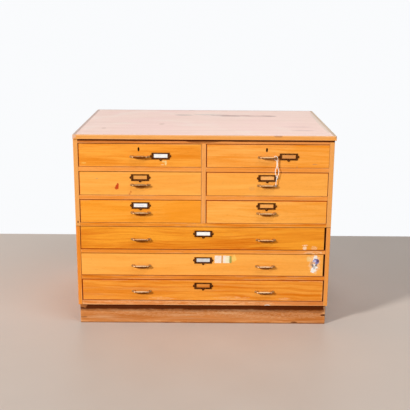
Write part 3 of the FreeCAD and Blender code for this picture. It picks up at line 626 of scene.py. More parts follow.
def inner_finish(name, wood):
    """Bare pale wood of drawer boxes and runners: the grain follows each board by the way it faces."""
    dust_share = 0.30
    coat = Coat(name)
    aside = coat.math("ABSOLUTE", coat.split(coat.normal)[0])
    flat, upright = (coat.grain_lines(axes, name) for axes in (ALONG_X_FLAT, ALONG_Y_UPRIGHT))
    lines = coat.blend(coat.math("GREATER_THAN", aside, 0.5), flat, upright, kind="VECTOR")
    grain = coat.plank(lines, wood)
    dusty = coat.times(coat.span(coat.noise(coat.position, scale=7.0, detail=4.0), 0.45, 0.70), dust_share)
    roughness = coat.span(grain["Streak"], 0.3, 0.7, 0.60, 0.75)
    coat.cover(coat.blend(dusty, grain["Color"], DUST), roughness)
    coat.relief(grain["Height"], 0.3 * MM)
    return coat.material


def metal_finish(name, metal):
    """A metal fitting."""
    coat = Coat(name)
    coat.tarnish(metal)
    return coat.material


def handle_finish(name, tarnish, brass):
    """Cast brass: rubbed pale on the bow, dark below the grip from tarnish and painted shade, and browned
    where it meets the wood.
    """
    lug_tarnish, groove_tarnish, fade, groove_w, browned = 0.30, 0.5, 2 * MM, 0.5 * MM, 5 * MM
    coat = Coat(name)
    x, y, _ = coat.split(coat.position)
    left, right = (middle_of(f"drawer_{side}_1_handle").x for side in ("left", "right"))
    beside = coat.apart(coat.apart(x, (left + right) / 2), (right - left) / 2)
    on_grip = coat.span(beside, GRIP_END, GRIP_END + fade, 1.0, 0.0)
    groove = coat.span(coat.apart(beside, GRIP_END), groove_w, fade, groove_tarnish, 0.0)
    amount = coat.plus(coat.span(on_grip, 0.0, 1.0, lug_tarnish, tarnish), groove)
    clear = coat.span(coat.minus(FRONT_Y, y), LUG_T, LUG_T + browned)
    coat.tarnish(Metal(coat.blend(clear, FOOT_BRASS, brass), BRASS_TARNISH, amount, 0.52, 0.60))
    return coat.material


def paper_finish(name, fresh, soiled, marks=()):
    """Matt paper or card, handled and a little soiled."""
    fibre_share = 0.12
    coat = Coat(name)
    fibre = coat.noise(coat.position, scale=900.0)
    handled = coat.span(coat.noise(coat.position, scale=45.0, detail=3.0), 0.4, 0.7)
    base = coat.blend(coat.times(fibre, fibre_share), coat.blend(handled, fresh, soiled), FIBRE)
    coat.cover(coat.stain(base, marks), coat.span(fibre, 0.3, 0.7, 0.62, 0.78))
    coat.relief(fibre, 0.05 * MM)
    return coat.material


def string_finish():
    """Soft white cotton."""
    clean, soiled, fluffy = (0.90, 0.87, 0.80), (0.74, 0.66, 0.53), (0.95, 0.93, 0.88)
    coat = Coat("cotton_string")
    fluff = coat.noise(coat.position, scale=1400.0, detail=3.0)
    handled = coat.span(coat.noise(coat.position, scale=60.0), 0.45, 0.70)
    base = coat.blend(fluff, coat.blend(handled, clean, soiled), fluffy)
    coat.cover(base, coat.span(fluff, 0.3, 0.7, 0.75, 0.92))
    coat.relief(fluff, 0.2 * MM)
    return coat.material


def floor_finish():
    """A plain pale floor, faintly mottled."""
    dark, light = (0.615, 0.53, 0.468), (0.675, 0.595, 0.53)
    coat = Coat("studio_floor")
    mottle = coat.noise(coat.position, scale=3.0, detail=4.0)
    coat.cover(coat.blend(mottle, dark, light), coat.span(mottle, 0.3, 0.7, 0.62, 0.72))
    return coat.material


# Boards


def paint(obj, material):
    obj.data.materials.clear()
    obj.data.materials.append(material)


def paint_node(name, material):
    NODES[name].material_slots[0].material = material


def ease_edges(name, arris):
    """Ease the edges of a board that stays as it was made."""
    weld = NODES[name].modifiers.new("weld", "WELD")
    weld.merge_threshold = SAME_POINT
    ease = NODES[name].modifiers.new("ease", "BEVEL")
    ease.width = arris
    ease.segments = EASE_STEPS
    ease.limit_method = "ANGLE"
    ease.angle_limit = math.radians(50)


def mesh_object(name, shell):
    mesh = bpy.data.meshes.new(name)
    shell.to_mesh(mesh)
    shell.free()
    obj = bpy.data.objects.new(name, mesh)
    bpy.context.scene.collection.objects.link(obj)
    return obj


def eased_board(name, low, high, arris):
    """A square-cut board with eased edges."""
    shell = bmesh.new()
    bmesh.ops.create_cube(shell, size=1.0)
    middle = (low + high) / 2
    size = high - low
    for vert in shell.verts:
        vert.co = Vector(middle[i] + vert.co[i] * size[i] for i in range(3))
    edges = shell.edges[:]
    bmesh.ops.bevel(shell, geom=edges, offset=arris, segments=EASE_STEPS, profile=0.5, affect="EDGES")
    return mesh_object(name, shell)


def slab(outline, start_y, end_y):
    """The shell of a flat shape, its outline drawn across and up, its thickness along Y."""
    shell = bmesh.new()
    rim = [shell.verts.new((x, start_y, z)) for x, z in outline]
    grown = bmesh.ops.extrude_face_region(shell, geom=[shell.faces.new(rim)])
    for item in grown["geom"]:
        if isinstance(item, bmesh.types.BMVert):
            item.co.y = end_y
    bmesh.ops.recalc_face_normals(shell, faces=shell.faces)
    return shell


def cut_out(obj, cutter):
    """Cut one piece by another, which is used up."""
    tool = obj.modifiers.new("cut", "BOOLEAN")
    tool.operation = "DIFFERENCE"
    tool.solver = "EXACT"
    tool.object = cutter
    bpy.context.view_layer.update()
    result = bpy.data.meshes.new_from_object(obj.evaluated_get(bpy.context.evaluated_depsgraph_get()))
    obj.modifiers.clear()
    obj.data = result
    bpy.data.objects.remove(cutter)


def chip_cutter(chip, seed):
    """A rough lump that takes a splintered chip out of a board."""
    shallow, deep = 0.72, 1.1
    draw = random.Random(seed)
    shell = bmesh.new()
    bmesh.ops.create_icosphere(shell, subdivisions=2, radius=1.0)
    for vert in shell.verts:
        lump = vert.co * draw.uniform(shallow, deep)
        vert.co = Vector(chip.centre) + Vector(lump[i] * chip.size[i] for i in range(3))
    return mesh_object("chip", shell)


def keyhole_cutter(x, z, near_y, far_y):
    """A round-ended slot to let a key through."""
    steps = 10
    outline = []
    for end, first_turn in ((z + KEYHOLE_HALF_RUN, 0), (z - KEYHOLE_HALF_RUN, math.pi)):
        for step in range(steps + 1):
            turn = math.pi * step / steps + first_turn
            outline.append((x + KEYHOLE_HALF_W * math.cos(turn), end + KEYHOLE_HALF_W * math.sin(turn)))
    return mesh_object("keyhole", slab(outline, near_y, far_y))


def fit_board(name, node, box, body, finish):
    """A board with eased edges, chips and its own finish, in place of a CAD node or one board of it."""
    board = eased_board(name, *box, finish.arris)
    for index, chip in enumerate(finish.chips):
        cut_out(board, chip_cutter(chip, f"{name}_{index}"))
    paint(board, board_finish(f"{name}_wood", box, finish))
    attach(board, body)
    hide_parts(node)
    return board


def finish_board(node, finish):
    """Finish a CAD board whose shape stays as it is."""
    paint_node(node, board_finish(f"{node}_wood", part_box(node), finish))
    ease_edges(node, finish.arris)


def ring_boards(node, front_t, back_t, side_t):
    """The four boards of a node that is a ring: long ones at the front and back, short ones between."""
    low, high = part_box(node)
    left, right = low.x + side_t, high.x - side_t
    front, back = low.y + front_t, high.y - back_t
    return {
        "front": (low, Vector((high.x, front, high.z))),
        "back": (Vector((low.x, back, low.z)), high),
        "left": (Vector((low.x, front, low.z)), Vector((left, back, high.z))),
        "right": (Vector((right, front, low.z)), Vector((high.x, back, high.z))),
    }


def separate_boards(node):
    """Lowest and highest corner of each board of a CAD node, from below and from the left."""
    shell = bmesh.new()
    shell.from_mesh(NODES[node].data)
    bmesh.ops.remove_doubles(shell, verts=shell.verts, dist=SAME_POINT)
    left = set(shell.verts)
    boxes = []
    while left:
        reached = {left.pop()}
        board = set(reached)
        while reached:
            vert = reached.pop()
            found = {edge.other_vert(vert) for edge in vert.link_edges} & left
            left -= found
            reached |= found
            board |= found
        low = Vector([min(vert.co[i] for vert in board) for i in range(3)])
        high = Vector([max(vert.co[i] for vert in board) for i in range(3)])
        boxes.append((low, high))
    shell.free()
    return sorted(boxes, key=lambda box: (round(box[0].z, 4), round(box[0].x, 4)))


# Marks on the fronts

# How often a mark's torn outline changes in a metre: across, through and up
SPLATTER = (90.0, 90.0, 90.0)
STREAKS = (25.0, 60.0, 160.0)
ALONG_EDGE = (18.0, 60.0, 60.0)


def front_mark(x, z, half_w, half_h, tone, amount, ragged=1.0, fine=SPLATTER, broken=0.0):
    """A mark on the chest's front, in millimetres."""
    size = (half_w * MM, THROUGH, half_h * MM)
    return Mark((x * MM, FRONT_Y, z * MM), size, tone, amount, ragged, fine, broken)


def scrape(x, z, half_w, half_h, tone, amount):
    """A pale scrape along a board's front, broken up into streaks."""
    return front_mark(x, z, half_w, half_h, tone, amount, 1.8, STREAKS, 0.9)


def dirt_and_shade_band(z, half_h, amount):
    """A dark band in the colour of dirt along a whole board: real dirt in a seam, and painted shade where
    it lies below something that stands out.
    """
    return Mark((0, FRONT_Y, z * MM), (ENDLESS, THROUGH, half_h * MM), DIRT, amount, 0.5, ALONG_EDGE)


def holder_patch(drawer, tone, amount):
    """The wood in an empty label holder: paler where a card was, or browner as painted shade of the frame.
    """
    window_rise, half_w, half_h = 2 * MM, 40 * MM, 17 * MM
    x, _, z = middle_of(f"{drawer}_label_holder")
    return Mark((x, FRONT_Y, z + window_rise), (half_w, THROUGH, half_h), tone, amount, 0.4, SPLATTER)


def edge_lines(low, high, amounts):
    """Painted gap shade along the left, right, top and bottom edges of a front, or, below zero, painted
    light.
    """
    line_w, depth = 2.8 * MM, 12 * MM
    upright, level = (line_w, depth, ENDLESS), (ENDLESS, depth, line_w)
    marks = []
    for corner, size, amount in zip((low, high, high, low), (upright, upright, level, level), amounts):
        # Above zero the line is painted shade, below zero painted light
        tone = EDGE_SHADE if amount > 0 else EDGE_LIGHT
        marks.append(Mark((corner.x, FRONT_Y, corner.z), size, tone, abs(amount), 0.4, ALONG_EDGE))
    return marks


def shadow_below_grips(drawer, amount):
    """Painted shadow on the wood below each of a drawer's grips."""
    drop, size = 7 * MM, (27 * MM, THROUGH, 6 * MM)
    low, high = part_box(f"{drawer}_handle")
    middles = {round(x, 4) for x in (low.x + HALF_HANDLE, high.x - HALF_HANDLE)}
    return [
        Mark((x, FRONT_Y, low.z - drop), size, GRIP_SHADOW_TONE, amount, 0.6, SPLATTER) for x in sorted(middles)
    ]


# Drawers

DRAWER_LOOKS = {
    "drawer_left_1": Look(
        STREAKY, FRONT_CARE, 0.0, (0.7, -0.5, 0.0, 0.3), 1.05, BRASS,
        marks=[
            front_mark(-180, 808, 6, 14, GLUE, 0.75),
            front_mark(-191, 815, 9, 5, GLUE, 0.55),
            front_mark(-195, 800, 9, 3, CHALK, 0.50),
            front_mark(-562, 806, 14, 4, LEMON, 0.45),
        ],
        card=((0.90, 0.90, 0.89), (0.82, 0.81, 0.78)),
    ),
    "drawer_left_2": Look(
        EVEN, FRONT_CARE, 0.45, (0.7, 0.0, -0.5, 0.0), 0.78, DULL_BRASS,
        marks=[
            front_mark(-406, 703, 6, 9, RED_PAINT, 0.90, 0.5),
            front_mark(-409, 695, 9, 9, RED_PAINT, 0.90, 0.5),
            front_mark(-411, 687, 11, 8, RED_PAINT, 0.90, 0.6),
            front_mark(-345, 669, 5, 7, RED_PAINT, 0.45),
            front_mark(-351, 659, 6, 6, RED_PAINT, 0.40),
            front_mark(-503, 732, 7, 4, GREY_SMUDGE, 0.25),
        ],
        patch=(BROWN_SMUDGE, 0.25),
    ),
    "drawer_left_3": Look(
        CALM, FRONT_CARE, 0.45, (0.6, 0.0, 0.5, -0.4), 0.66, BRASS,
        marks=[front_mark(-70, 575, 140, 75, RIPENED, 0.45, 1.0, STREAKS)],
        card=((0.92, 0.92, 0.92), (0.86, 0.86, 0.86)),
    ),
    "drawer_right_1": Look(
        RIPPLED, FRONT_CARE, 0.0, (0.9, -0.3, 0.4, 0.0), 0.55, BRASS,
        marks=[
            front_mark(500, 842, 160, 70, RIPENED, 0.35, 1.0, STREAKS),
            front_mark(516, 806, 14, 3, BROWN_SMUDGE, 0.45),
            front_mark(432, 792, 4, 5, BROWN_SMUDGE, 0.35),
        ],
        patch=(BROWN_SMUDGE, 0.42),
    ),
    "drawer_right_2": Look(
        EVEN, FRONT_CARE, 0.20, (0.9, 0.4, 0.6, -0.3), 0.60, BRASS,
        marks=[front_mark(224, 690, 16, 12, BROWN_SMUDGE, 0.16, 1.8)],
        patch=(CHALK, 0.20),
    ),
    "drawer_right_3": Look(
        GENTLE, FRONT_CARE, 0.35, (0.9, 0.6, 0.9, 0.0), 0.64, BRASS,
        patch=(CHALK, 0.12),
    ),
    "drawer_wide_1": Look(
        FLAMED, FRONT_CARE, 0.60, (0.4, 0.0, -0.7, 1.0), 0.84, BRASS,
        marks=[
            front_mark(450, 443, 230, 70, FLAMED.light, 0.40, 1.0, STREAKS),
            front_mark(486, 411, 15, 4, SPLASH, 0.75, 1.4, SPLATTER, 0.6),
            front_mark(483, 397, 10, 10, SPLASH, 0.90, 1.4, SPLATTER, 0.6),
            front_mark(527, 396, 17, 12, CHALK, 0.65, 1.6, SPLATTER, 0.8),
        ],
        card=((0.98, 0.975, 0.96), (0.93, 0.92, 0.89)),
    ),
    "drawer_wide_2": Look(
        EVEN, FRONT_CARE, 0.55, (-0.3, 0.0, -0.7, 0.7), 0.72, BRIGHT_BRASS,
        marks=[
            front_mark(144, 342, 14, 20, LEMON, 0.75, 1.3),
            front_mark(88, 338, 6, 22, GREY_SMUDGE, 0.35, 1.2),
            front_mark(505, 343, 14, 15, GLUE, 0.55, 1.5),
            front_mark(533, 318, 30, 52, CHALK, 0.45, 1.6),
            front_mark(520, 318, 9, 14, BROWN_SMUDGE, 0.60, 1.4),
        ],
        card=((0.70, 0.70, 0.70), (0.61, 0.60, 0.60)),
    ),
    "drawer_wide_3": Look(
        DEEP, WORN_CARE, 0.60, (0.9, 0.3, 0.8, 0.8), 0.70, BRIGHT_BRASS,
        marks=[
            scrape(-210, 136, 70, 9, SCRAPED, 0.60),
            scrape(140, 140, 100, 10, SCRAPED, 0.55),
            scrape(392, 139, 40, 8, SCRAPED, 0.65),
        ],
        chips=[
            Chip((0.052, FRONT_Y, 0.1268), mm(6, 1.6, 1.4)),
            Chip((-0.412, FRONT_Y, 0.1266), mm(4, 1.4, 1.2)),
        ],
        patch=(BROWN_SMUDGE, 0.15),
    ),
}
RULED_CARD = "drawer_left_3"


def let_lock_in(front, case, keyhole_x, keyhole_z):
    """Cut the room for a lock's case into the back of a front, and its keyhole through the rest."""
    room, past, into_case = 0.2 * MM, 2 * MM, 1 * MM
    low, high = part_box(case)
    room_low, room_high = low - Vector((room, room, room)), high + Vector((room, past, past))
    cut_out(front, eased_board("mortise", room_low, room_high, room / 2))
    cut_out(front, keyhole_cutter(keyhole_x, keyhole_z, FRONT_Y - past, low.y + into_case))


def make_front(drawer, look):
    """A drawer's front with its marks, and with a keyhole where the drawer has a lock."""
    node, case = f"{drawer}_front", f"{drawer}_lock_case"
    low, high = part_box(node)
    marks = edge_lines(low, high, look.lines) + shadow_below_grips(drawer, look.fingered) + list(look.marks)
    if look.patch:
        marks.append(holder_patch(drawer, *look.patch))
    if case in NODES:
        keyhole_x, keyhole_z = middle_of(case).x, high.z - KEYHOLE_DROP
        dark_size = (KEYHOLE_DARK_W, THROUGH, KEYHOLE_DARK_H)
        # Dirt and painted shade round the keyhole, so that it reads darker and wider
        marks.append(Mark((keyhole_x, FRONT_Y, keyhole_z), dark_size, DIRT, 0.90, 0.3, SPLATTER))
    finish = Finish(ALONG_X_UPRIGHT, look.wood, look.care, marks, look.chips)
    front = fit_board(f"{drawer}_face", node, (low, high), drawer, finish)
    if case in NODES:
        let_lock_in(front, case, keyhole_x, keyhole_z)


def card_finish(drawer, tones):
    """A label card, one of them with a faint ruled line."""
    marks = []
    if drawer == RULED_CARD:
        line_size = (25 * MM, THROUGH, 1.8 * MM)
        marks.append(Mark(middle_of(f"{drawer}_card"), line_size, RULED_LINE, 0.60, 0.4, SPLATTER))
    return paper_finish(f"{drawer}_card_paper", *tones, marks)


def make_drawers():
    """Each drawer's front, box, handles, label card and metal fittings."""
    box_wood = inner_finish("drawer_box_wood", BOX_WOOD)
    fittings = {
        "label_holder": metal_finish("dark_bronze", BRONZE),
        "lock_case": metal_finish("lock_iron", IRON),
        "lock_bolt": metal_finish("bolt_steel", STEEL),
    }
    for drawer, look in DRAWER_LOOKS.items():
        make_front(drawer, look)
        paint_node(f"{drawer}_box", box_wood)
        ease_edges(f"{drawer}_box", BOX_ARRIS)
        paint_node(f"{drawer}_handle", handle_finish(f"{drawer}_brass", look.tarnish, look.brass))
        if look.card:
            paint_node(f"{drawer}_card", card_finish(drawer, look.card))
        for fitting, finish in fittings.items():
            if f"{drawer}_{fitting}" in NODES:
                paint_node(f"{drawer}_{fitting}", finish)


# Paper stuck on the second wide drawer

PAPER_DRAWER = "drawer_wide_2"
PAPER_SUNK = 0.1 * MM
PAPER_OUT = 0.25 * MM
LABEL_TEAR = 0.8
STICKER_TEAR = 1.8
TEAR_STEP = 2.5

CREAM = (0.94, 0.80, 0.68)
GRUBBY = (0.86, 0.70, 0.55)
STICKER_PAPER = (0.92, 0.87, 0.82)
STICKER_SOILED = (0.86, 0.78, 0.70)
GREEN_INK = (0.33, 0.31, 0.045)
PALE_GREEN_INK = (0.88, 0.86, 0.45)
BLUE_INK = (0.13, 0.12, 0.36)
LILAC_INK = (0.58, 0.55, 0.78)
GREY_INK = (0.42, 0.39, 0.38)

# Corners of each scrap, x and z in millimetres
LEFT_LABEL = [(52, 319), (84, 320), (85, 356), (53, 357)]
RIGHT_LABEL = [(92, 319), (134, 320), (133, 355), (93, 357)]
STICKER = [
    (531, 361), (543, 358), (546, 346), (555, 336), (553, 322), (545, 314),
    (548, 303), (551, 292), (541, 280), (528, 272), (514, 277), (519, 292),
    (523, 303), (519, 314), (526, 320), (523, 333), (527, 345),
]
RIGHT_LABEL_MARKS = [
    front_mark(130, 338, 10, 30, GREEN_INK, 0.95, 0.6),
    front_mark(114, 338, 13, 30, PALE_GREEN_INK, 0.45, 0.8),
]
STICKER_MARKS = [
    front_mark(540, 331, 19, 16, BLUE_INK, 0.95),
    front_mark(534, 331, 8, 8, LILAC_INK, 0.85, 0.9),
    front_mark(549, 333, 7, 8, DIRT, 0.70, 0.9),
    front_mark(523, 309, 7, 11, DIRT, 0.80),
    front_mark(544, 311, 10, 7, DIRT, 0.80),
    front_mark(533, 300, 6, 11, GREY_INK, 0.70),
    front_mark(531, 322, 5, 7, BARE_WOOD, 0.90),
    front_mark(545, 291, 7, 6, BARE_WOOD, 0.90, 1.2),
]


def torn_outline(corners, tear, seed):
    """Points round a scrap of paper, with torn edges between its corners, in millimetres."""
    draw = random.Random(seed)
    points = []
    for start, end in zip(corners, corners[1:] + corners[:1]):
        count = max(1, round(math.dist(start, end) / TEAR_STEP))
        for index in range(count):
            share = index / count
            points.append([a + (b - a) * share + draw.uniform(-tear, tear) for a, b in zip(start, end)])
    return points


def stick_paper(name, corners, tear, finish):
    """A thin torn scrap of paper, stuck on a drawer's front."""
    outline = [mm(*point) for point in torn_outline(corners, tear, name)]
    shell = slab(outline, FRONT_Y + PAPER_SUNK, FRONT_Y - PAPER_OUT)
    bmesh.ops.triangulate(shell, faces=[face for face in shell.faces if len(face.verts) > 4])
    scrap = mesh_object(name, shell)
    paint(scrap, finish)
    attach(scrap, PAPER_DRAWER)


def make_scraps():
    """Two torn labels and the remains of a sticker."""
    old_label = paper_finish("old_label", CREAM, GRUBBY)
    edged_label = paper_finish("green_edged_label", CREAM, GRUBBY, RIGHT_LABEL_MARKS)
    torn_sticker = paper_finish("torn_sticker", STICKER_PAPER, STICKER_SOILED, STICKER_MARKS)
    stick_paper("label_scrap_left", LEFT_LABEL, LABEL_TEAR, old_label)
    stick_paper("label_scrap_right", RIGHT_LABEL, LABEL_TEAR, edged_label)
    stick_paper("torn_sticker_scrap", STICKER, STICKER_TEAR, torn_sticker)


# String

STRING_R = 1.5 * MM
STRING_OUT = 9 * MM
TWIST_LENGTH = 10 * MM
STRANDS = 3
STRAND_SIDES = 8
STRAND_R = STRING_R * 0.58
STRAND_OFFSET = STRING_R * 0.5

# Height of the post that the string hangs from
POST_Z = 837.75 * MM

# The string's route: across and up from the middle of the post, in millimetres
STRING_ROUTE = (
    (5.5, -139), (5.0, -118), (7.5, -106), (8.0, -91), (-1.5, -67), (7.0, -44),
    (7.2, -30), (6.8, -18), (3.0, -10), (-7.0, -9), (-7.0, 7), (7.0, 7),
    (10.5, -6), (10.7, -24), (10.8, -44), (19.0, -67), (12.0, -90), (12.4, -99),
)


def strand_line(points):
    """Points down the middle of a smooth cord through a route."""
    data = bpy.data.curves.new("route", "CURVE")
    data.dimensions = "3D"
    data.resolution_u = 24
    spline = data.splines.new("NURBS")
    spline.points.add(len(points) - 1)
    for knot, point in zip(spline.points, points):
        knot.co = (*point, 1.0)
    spline.order_u = 3
    spline.use_endpoint_u = True
    route = bpy.data.objects.new("route", data)
    mesh = bpy.data.meshes.new_from_object(route)
    line = [vert.co.copy() for vert in mesh.vertices]
    bpy.data.meshes.remove(mesh)
    bpy.data.objects.remove(route)
    bpy.data.curves.remove(data)
    return line


def places(line):
    """Each point of a line, with two steady directions across it."""
    side = Vector((0, 1, 0))
    for index, centre in enumerate(line):
        after = line[min(index + 1, len(line) - 1)]
        before = line[max(index - 1, 0)]
        ahead = (after - before).normalized()
        side = (side - ahead * side.dot(ahead)).normalized()
        yield centre, side, ahead.cross(side)


def beside_line(centre, side, over, turn, distance):
    """A point beside a line, at a turn round it."""
    return centre + (side * math.cos(turn) + over * math.sin(turn)) * distance


def skin_strand(shell, centres):
    """A round skin along a row of centres, closed at both ends."""
    turns = [2 * math.pi * step / STRAND_SIDES for step in range(STRAND_SIDES)]
    rings = []
    for place in places(centres):
        rings.append([shell.verts.new(beside_line(*place, turn, STRAND_R)) for turn in turns])
    for first, second in zip(rings, rings[1:]):
        for step in range(STRAND_SIDES):
            following = (step + 1) % STRAND_SIDES
            shell.faces.new((first[step], first[following], second[following], second[step]))
    shell.faces.new(rings[0][::-1])
    shell.faces.new(rings[-1])


def twisted_strand(line, turns, start):
    """The middle of one strand, which winds round the string's own line."""
    return [beside_line(*place, turn + start, STRAND_OFFSET) for place, turn in zip(places(line), turns)]


def make_string():
    """Twisted string over the right top handle's post, with a loop and a tail below."""
    post = Vector((middle_of("drawer_right_1_handle").x + POST_X, FRONT_Y - STRING_OUT, POST_Z))
    line = strand_line([post + Vector((across, 0, up)) * MM for across, up in STRING_ROUTE])
    run = 0.0
    turns = [0.0]
    for before, after in zip(line, line[1:]):
        run += (after - before).length
        turns.append(2 * math.pi * run / TWIST_LENGTH)
    shell = bmesh.new()
    for strand in range(STRANDS):
        skin_strand(shell, twisted_strand(line, turns, 2 * math.pi * strand / STRANDS))
    bmesh.ops.recalc_face_normals(shell, faces=shell.faces)
    for face in shell.faces:
        face.smooth = True
    string = mesh_object("tied_string", shell)
    paint(string, string_finish())
    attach(string, "drawer_right_1")
    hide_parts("string")
    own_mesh(string)


# Carcass

# Painted shadow below the top's overhang
UNDER_TOP = dirt_and_shade_band(917, 7.5, 0.96)
SEAM = dirt_and_shade_band(500, 1.8, 0.70)


def faded_edge(amount):
    """Paler wood along a side's front edge."""
    return Mark((0, FRONT_Y, 0), (ENDLESS, 9 * MM, ENDLESS), FADED, amount, 0.8, SPLATTER)


def make_sides():
    """Four side boards, with dirt in the seam between the two units."""
    knot = front_mark(-598, 520, 4, 8, DIRT, 0.8, 0.8)
    sides = {
        "upper_side_left": (RIGHTWARD, [faded_edge(0.90), SEAM, knot]),
        # The right side takes the painted shadow below the top as well
        "upper_side_right": (LEFTWARD, [faded_edge(0.90), SEAM, UNDER_TOP]),
        "lower_side_left": (RIGHTWARD, [SEAM]),
        "lower_side_right": (LEFTWARD, [faded_edge(0.45), SEAM]),
    }
    for node, (inward, marks) in sides.items():
        finish_board(node, Finish(ALONG_Z, SIDE_WOOD, EDGE_CARE, marks, facing=inward))


def make_rails():
    """The centre stile, the top rail, the boards between the drawers and the bottom board."""
    residue = front_mark(-8, 912, 98, 9, DIRT, 0.60, 0.9, ALONG_EDGE)
    brighter = front_mark(330, 907, 420, 20, RAIL_WOOD.light, 0.38, 0.8, STREAKS)
    # The top rail takes the painted shadow below the top
    top_marks = [brighter, UNDER_TOP, residue]
    finish_board("upper_divider", Finish(ALONG_Z, STILE_WOOD, EDGE_CARE))
    finish_board("upper_top_rail", Finish(ALONG_X_UPRIGHT, DULL_WOOD, EDGE_CARE, top_marks))
    finish_board("upper_floor", Finish(ALONG_X_UPRIGHT, DEEP, EDGE_CARE))
    scuffs = [
        # Painted shade in the gap below the first wide drawer
        dirt_and_shade_band(386.5, 2.4, 0.70),
        scrape(528, 374, 60, 8, CHALK, 0.70),
        front_mark(505, 368, 18, 4, DIRT, 0.5, 1.0, STREAKS),
    ]
    # In the order of separate_boards
    rails = {
        # The lowest rail's dark band is painted shade in the gap below the drawer above it
        "rail_low": (LOW_RAIL_WOOD, [dirt_and_shade_band(254.5, 2.0, 0.45)]),
        "rail_middle": (MIDDLE_RAIL_WOOD, scuffs),
        "rail_left_low": (RAIL_WOOD, ()),
        "rail_right_low": (RAIL_WOOD, ()),
        "rail_left_high": (RAIL_WOOD, ()),
        "rail_right_high": (RAIL_WOOD, ()),
    }
    for (name, (wood, marks)), box in zip(rails.items(), separate_boards("drawer_rails")):
        finish = Finish(ALONG_X_UPRIGHT, wood, EDGE_CARE, marks)
        fit_board(name, "drawer_rails", box, "chest", finish)
    low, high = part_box("lower_floor")
    knocks = [
        Chip((0.312, low.y, low.z), mm(9, 3, 3.2)),
        Chip((-0.286, low.y, low.z), mm(5, 2, 2)),
    ]
    scrapes = [
        # Painted shade in the gap below the lowest drawer
        dirt_and_shade_band(126, 2.2, 0.55),
        front_mark(312, 104, 16, 6, PALE_RUBBED, 0.8, 1.2),
        scrape(-330, 118, 200, 9, SCRAPED, 0.60),
        scrape(120, 114, 280, 10, SCRAPED, 0.60),
    ]
    finish = Finish(ALONG_X_UPRIGHT, DULL_WOOD, RUBBED_CARE, scrapes, knocks)
    fit_board("bottom_board", "lower_floor", (low, high), "chest", finish)


def make_top():
    """The worn panel, and the lipping round it, rubbed to its own tone on each side."""
    paint_node("top_panel", top_finish())
    ease_edges("top_panel", THIN_ARRIS)
    low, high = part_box("top_lipping")
    # Marks on the front board: x, how far below the top, half their size, colour, strength, how ragged
    front_marks = [
        Mark((x, low.y, high.z - drop * MM), (half_w * MM, THROUGH, half_h * MM), *rest, SPLATTER)
        for x, drop, half_w, half_h, *rest in (
            (0.341, 3, 24, 5, DARK_SMUDGE, 0.45, 1.0),
            (low.x, 8, 18, 12, LILAC_RUBBED, 0.55, 1.4),
            (high.x, 5, 8, 9, GREY_SMUDGE, 0.45, 1.0),
        )
    ]
    dings = [
        Chip((0.418, low.y, high.z), mm(5, 1.6, 1.8)),
        Chip((-0.227, low.y, low.z), mm(4, 1.4, 1.4)),
    ]
    # Each board: its rubbed tone, the way its grain runs, and its own marks and chips
    boards = {
        "front": (BARE_WOOD, ALONG_X_FLAT, front_marks, dings),
        "back": (LILAC_RUBBED, ALONG_X_FLAT, (), ()),
        "left": (LILAC_RUBBED, ALONG_Y_FLAT, (), ()),
        "right": (BEIGE_RUBBED, ALONG_Y_FLAT, (), ()),
    }
    boxes = ring_boards("top_lipping", LIP_FRONT_W, LIP_BACK_W, LIP_SIDE_W)
    for side, (tone, axes, marks, chips) in boards.items():
        worn_face = Mark((0, 0, high.z), (ENDLESS, ENDLESS, 5 * MM), tone, 0.85, 0.8, SPLATTER)
        finish = Finish(axes, LIP_WOOD, EDGE_CARE, [worn_face, *marks], chips, facing=DOWNWARD)
        fit_board(f"lip_{side}", "top_lipping", boxes[side], "chest", finish)


def make_plinth():
    """The plinth's four boards, the front one scuffed and nicked, with painted shade below the overhang and
    at the floor, and painted light at its ends.
    """
    low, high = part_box("plinth")
    nicks = [
        Chip((high.x, low.y, 0.047), mm(9, 5, 2.6)),
        Chip((0.105, low.y, 0.0), mm(12, 3, 4)),
        Chip((0.447, low.y, 0.001), mm(15, 3, 3)),
        Chip((low.x, low.y, 0.071), mm(3, 3, 7)),
    ]
    # Scuffs and dirt, with painted shade and painted light among them
    scuffs = [
        scrape(-170, 60, 420, 26, SCUFF, 0.50),
        scrape(340, 52, 330, 28, SCUFF, 0.50),
        # Painted shade below the bottom board's overhang, in two bands
        dirt_and_shade_band(97, 42, 0.45),
        dirt_and_shade_band(97, 29, 0.92),
        # Painted shade along the foot, where the plinth meets the floor
        dirt_and_shade_band(-2, 11, 0.45),
        # Painted light on the left end, where light reaches under the overhang
        front_mark(-590, 94, 26, 18, PLINTH_WOOD.light, 0.50, 1.4),
        front_mark(-588, 30, 22, 4, DIRT, 0.45, 1.2, STREAKS),
        # A scuffed right end, also painted light where the shade under the overhang stops
        front_mark(598, 86, 12, 22, SCUFF, 0.45, 1.2),
        # Painted shade in the nick near the bottom edge
        front_mark(447, 8, 18, 4, DIRT, 0.75, 0.8),
        front_mark(590, 47, 18, 6, DIRT, 0.85),
    ]
    for side, box in ring_boards("plinth", PLINTH_BOARD_T, PLINTH_BOARD_T, PLINTH_BOARD_T).items():
        axes = ALONG_X_UPRIGHT if side in ("front", "back") else ALONG_Y_UPRIGHT
        marks, chips = (scuffs, nicks) if side == "front" else ((), ())
        finish = Finish(axes, PLINTH_WOOD, FOOT_CARE, marks, chips, PLINTH_ARRIS, DOWNWARD)
        fit_board(f"plinth_{side}", "plinth", box, "chest", finish)


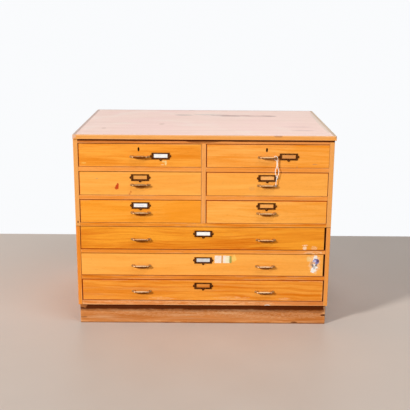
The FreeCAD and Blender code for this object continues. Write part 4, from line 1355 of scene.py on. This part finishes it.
def make_carcass():
    """All that stays put, with the back panels and the runners last."""
    make_sides()
    make_rails()
    make_top()
    make_plinth()
    for node in ("upper_back_panel", "lower_back_panel"):
        finish_board(node, Finish(ALONG_X_UPRIGHT, BACK_WOOD, KEPT_CARE, [SEAM], arris=THIN_ARRIS))
    paint_node("drawer_runners", inner_finish("runner_wood", RUNNER_WOOD))
    ease_edges("drawer_runners", RUNNER_ARRIS)


# Stage


def make_floor():
    """A pale floor that ends at the white background."""
    reach, near_y, wall_y = 7, -8, 1.11
    shell = bmesh.new()
    corners = [(-reach, near_y, 0), (reach, near_y, 0), (reach, wall_y, 0), (-reach, wall_y, 0)]
    shell.faces.new([shell.verts.new(corner) for corner in corners])
    floor = mesh_object("studio_floor", shell)
    paint(floor, floor_finish())


def softbox(name, at, aim, size, watts, tint):
    """A soft rectangular lamp, turned towards a point."""
    data = bpy.data.lights.new(name, "AREA")
    data.shape = "RECTANGLE"
    data.size, data.size_y = size
    data.energy = watts
    data.color = tint
    lamp = bpy.data.objects.new(name, data)
    lamp.location = at
    lamp.rotation_euler = (Vector(aim) - Vector(at)).to_track_quat("-Z", "Y").to_euler()
    bpy.context.scene.collection.objects.link(lamp)


def make_lamps():
    """Soft light from the left, above and behind."""
    aim = (0, -0.3, 0.45)
    softbox("key", (-11.7, -9.9, 5.925), aim, (2.1, 2.1), 2420, (1.0, 0.98, 0.95))
    softbox("overhead", (1.2, -2.1, 3.8), aim, (2.4, 1.6), 50, (1.0, 0.99, 0.98))
    softbox("behind", (0.0, 4.6, 3.6), aim, (4.0, 1.8), 78, (1.0, 1.0, 1.0))


def make_background():
    """White where it is seen or reflected, and a low light everywhere else."""
    white, low_light, full = (0.955, 0.965, 0.98), 0.17, 1.0
    world = bpy.data.worlds.new("studio")
    world.use_nodes = True
    bpy.context.scene.world = world
    bench = Bench(world.node_tree)
    background = world.node_tree.nodes["Background"]
    path = bench.add("ShaderNodeLightPath").outputs
    seen = bench.most(bench.most(path["Is Camera Ray"], path["Is Glossy Ray"]), path["Is Transmission Ray"])
    bench.give(background.inputs["Color"], white)
    bench.give(background.inputs["Strength"], bench.span(seen, 0.0, 1.0, low_light, full))
    bpy.context.scene.view_settings.view_transform = "Standard"


make_camera()
make_string()
make_carcass()
make_drawers()
make_scraps()
make_floor()
make_lamps()
make_background()
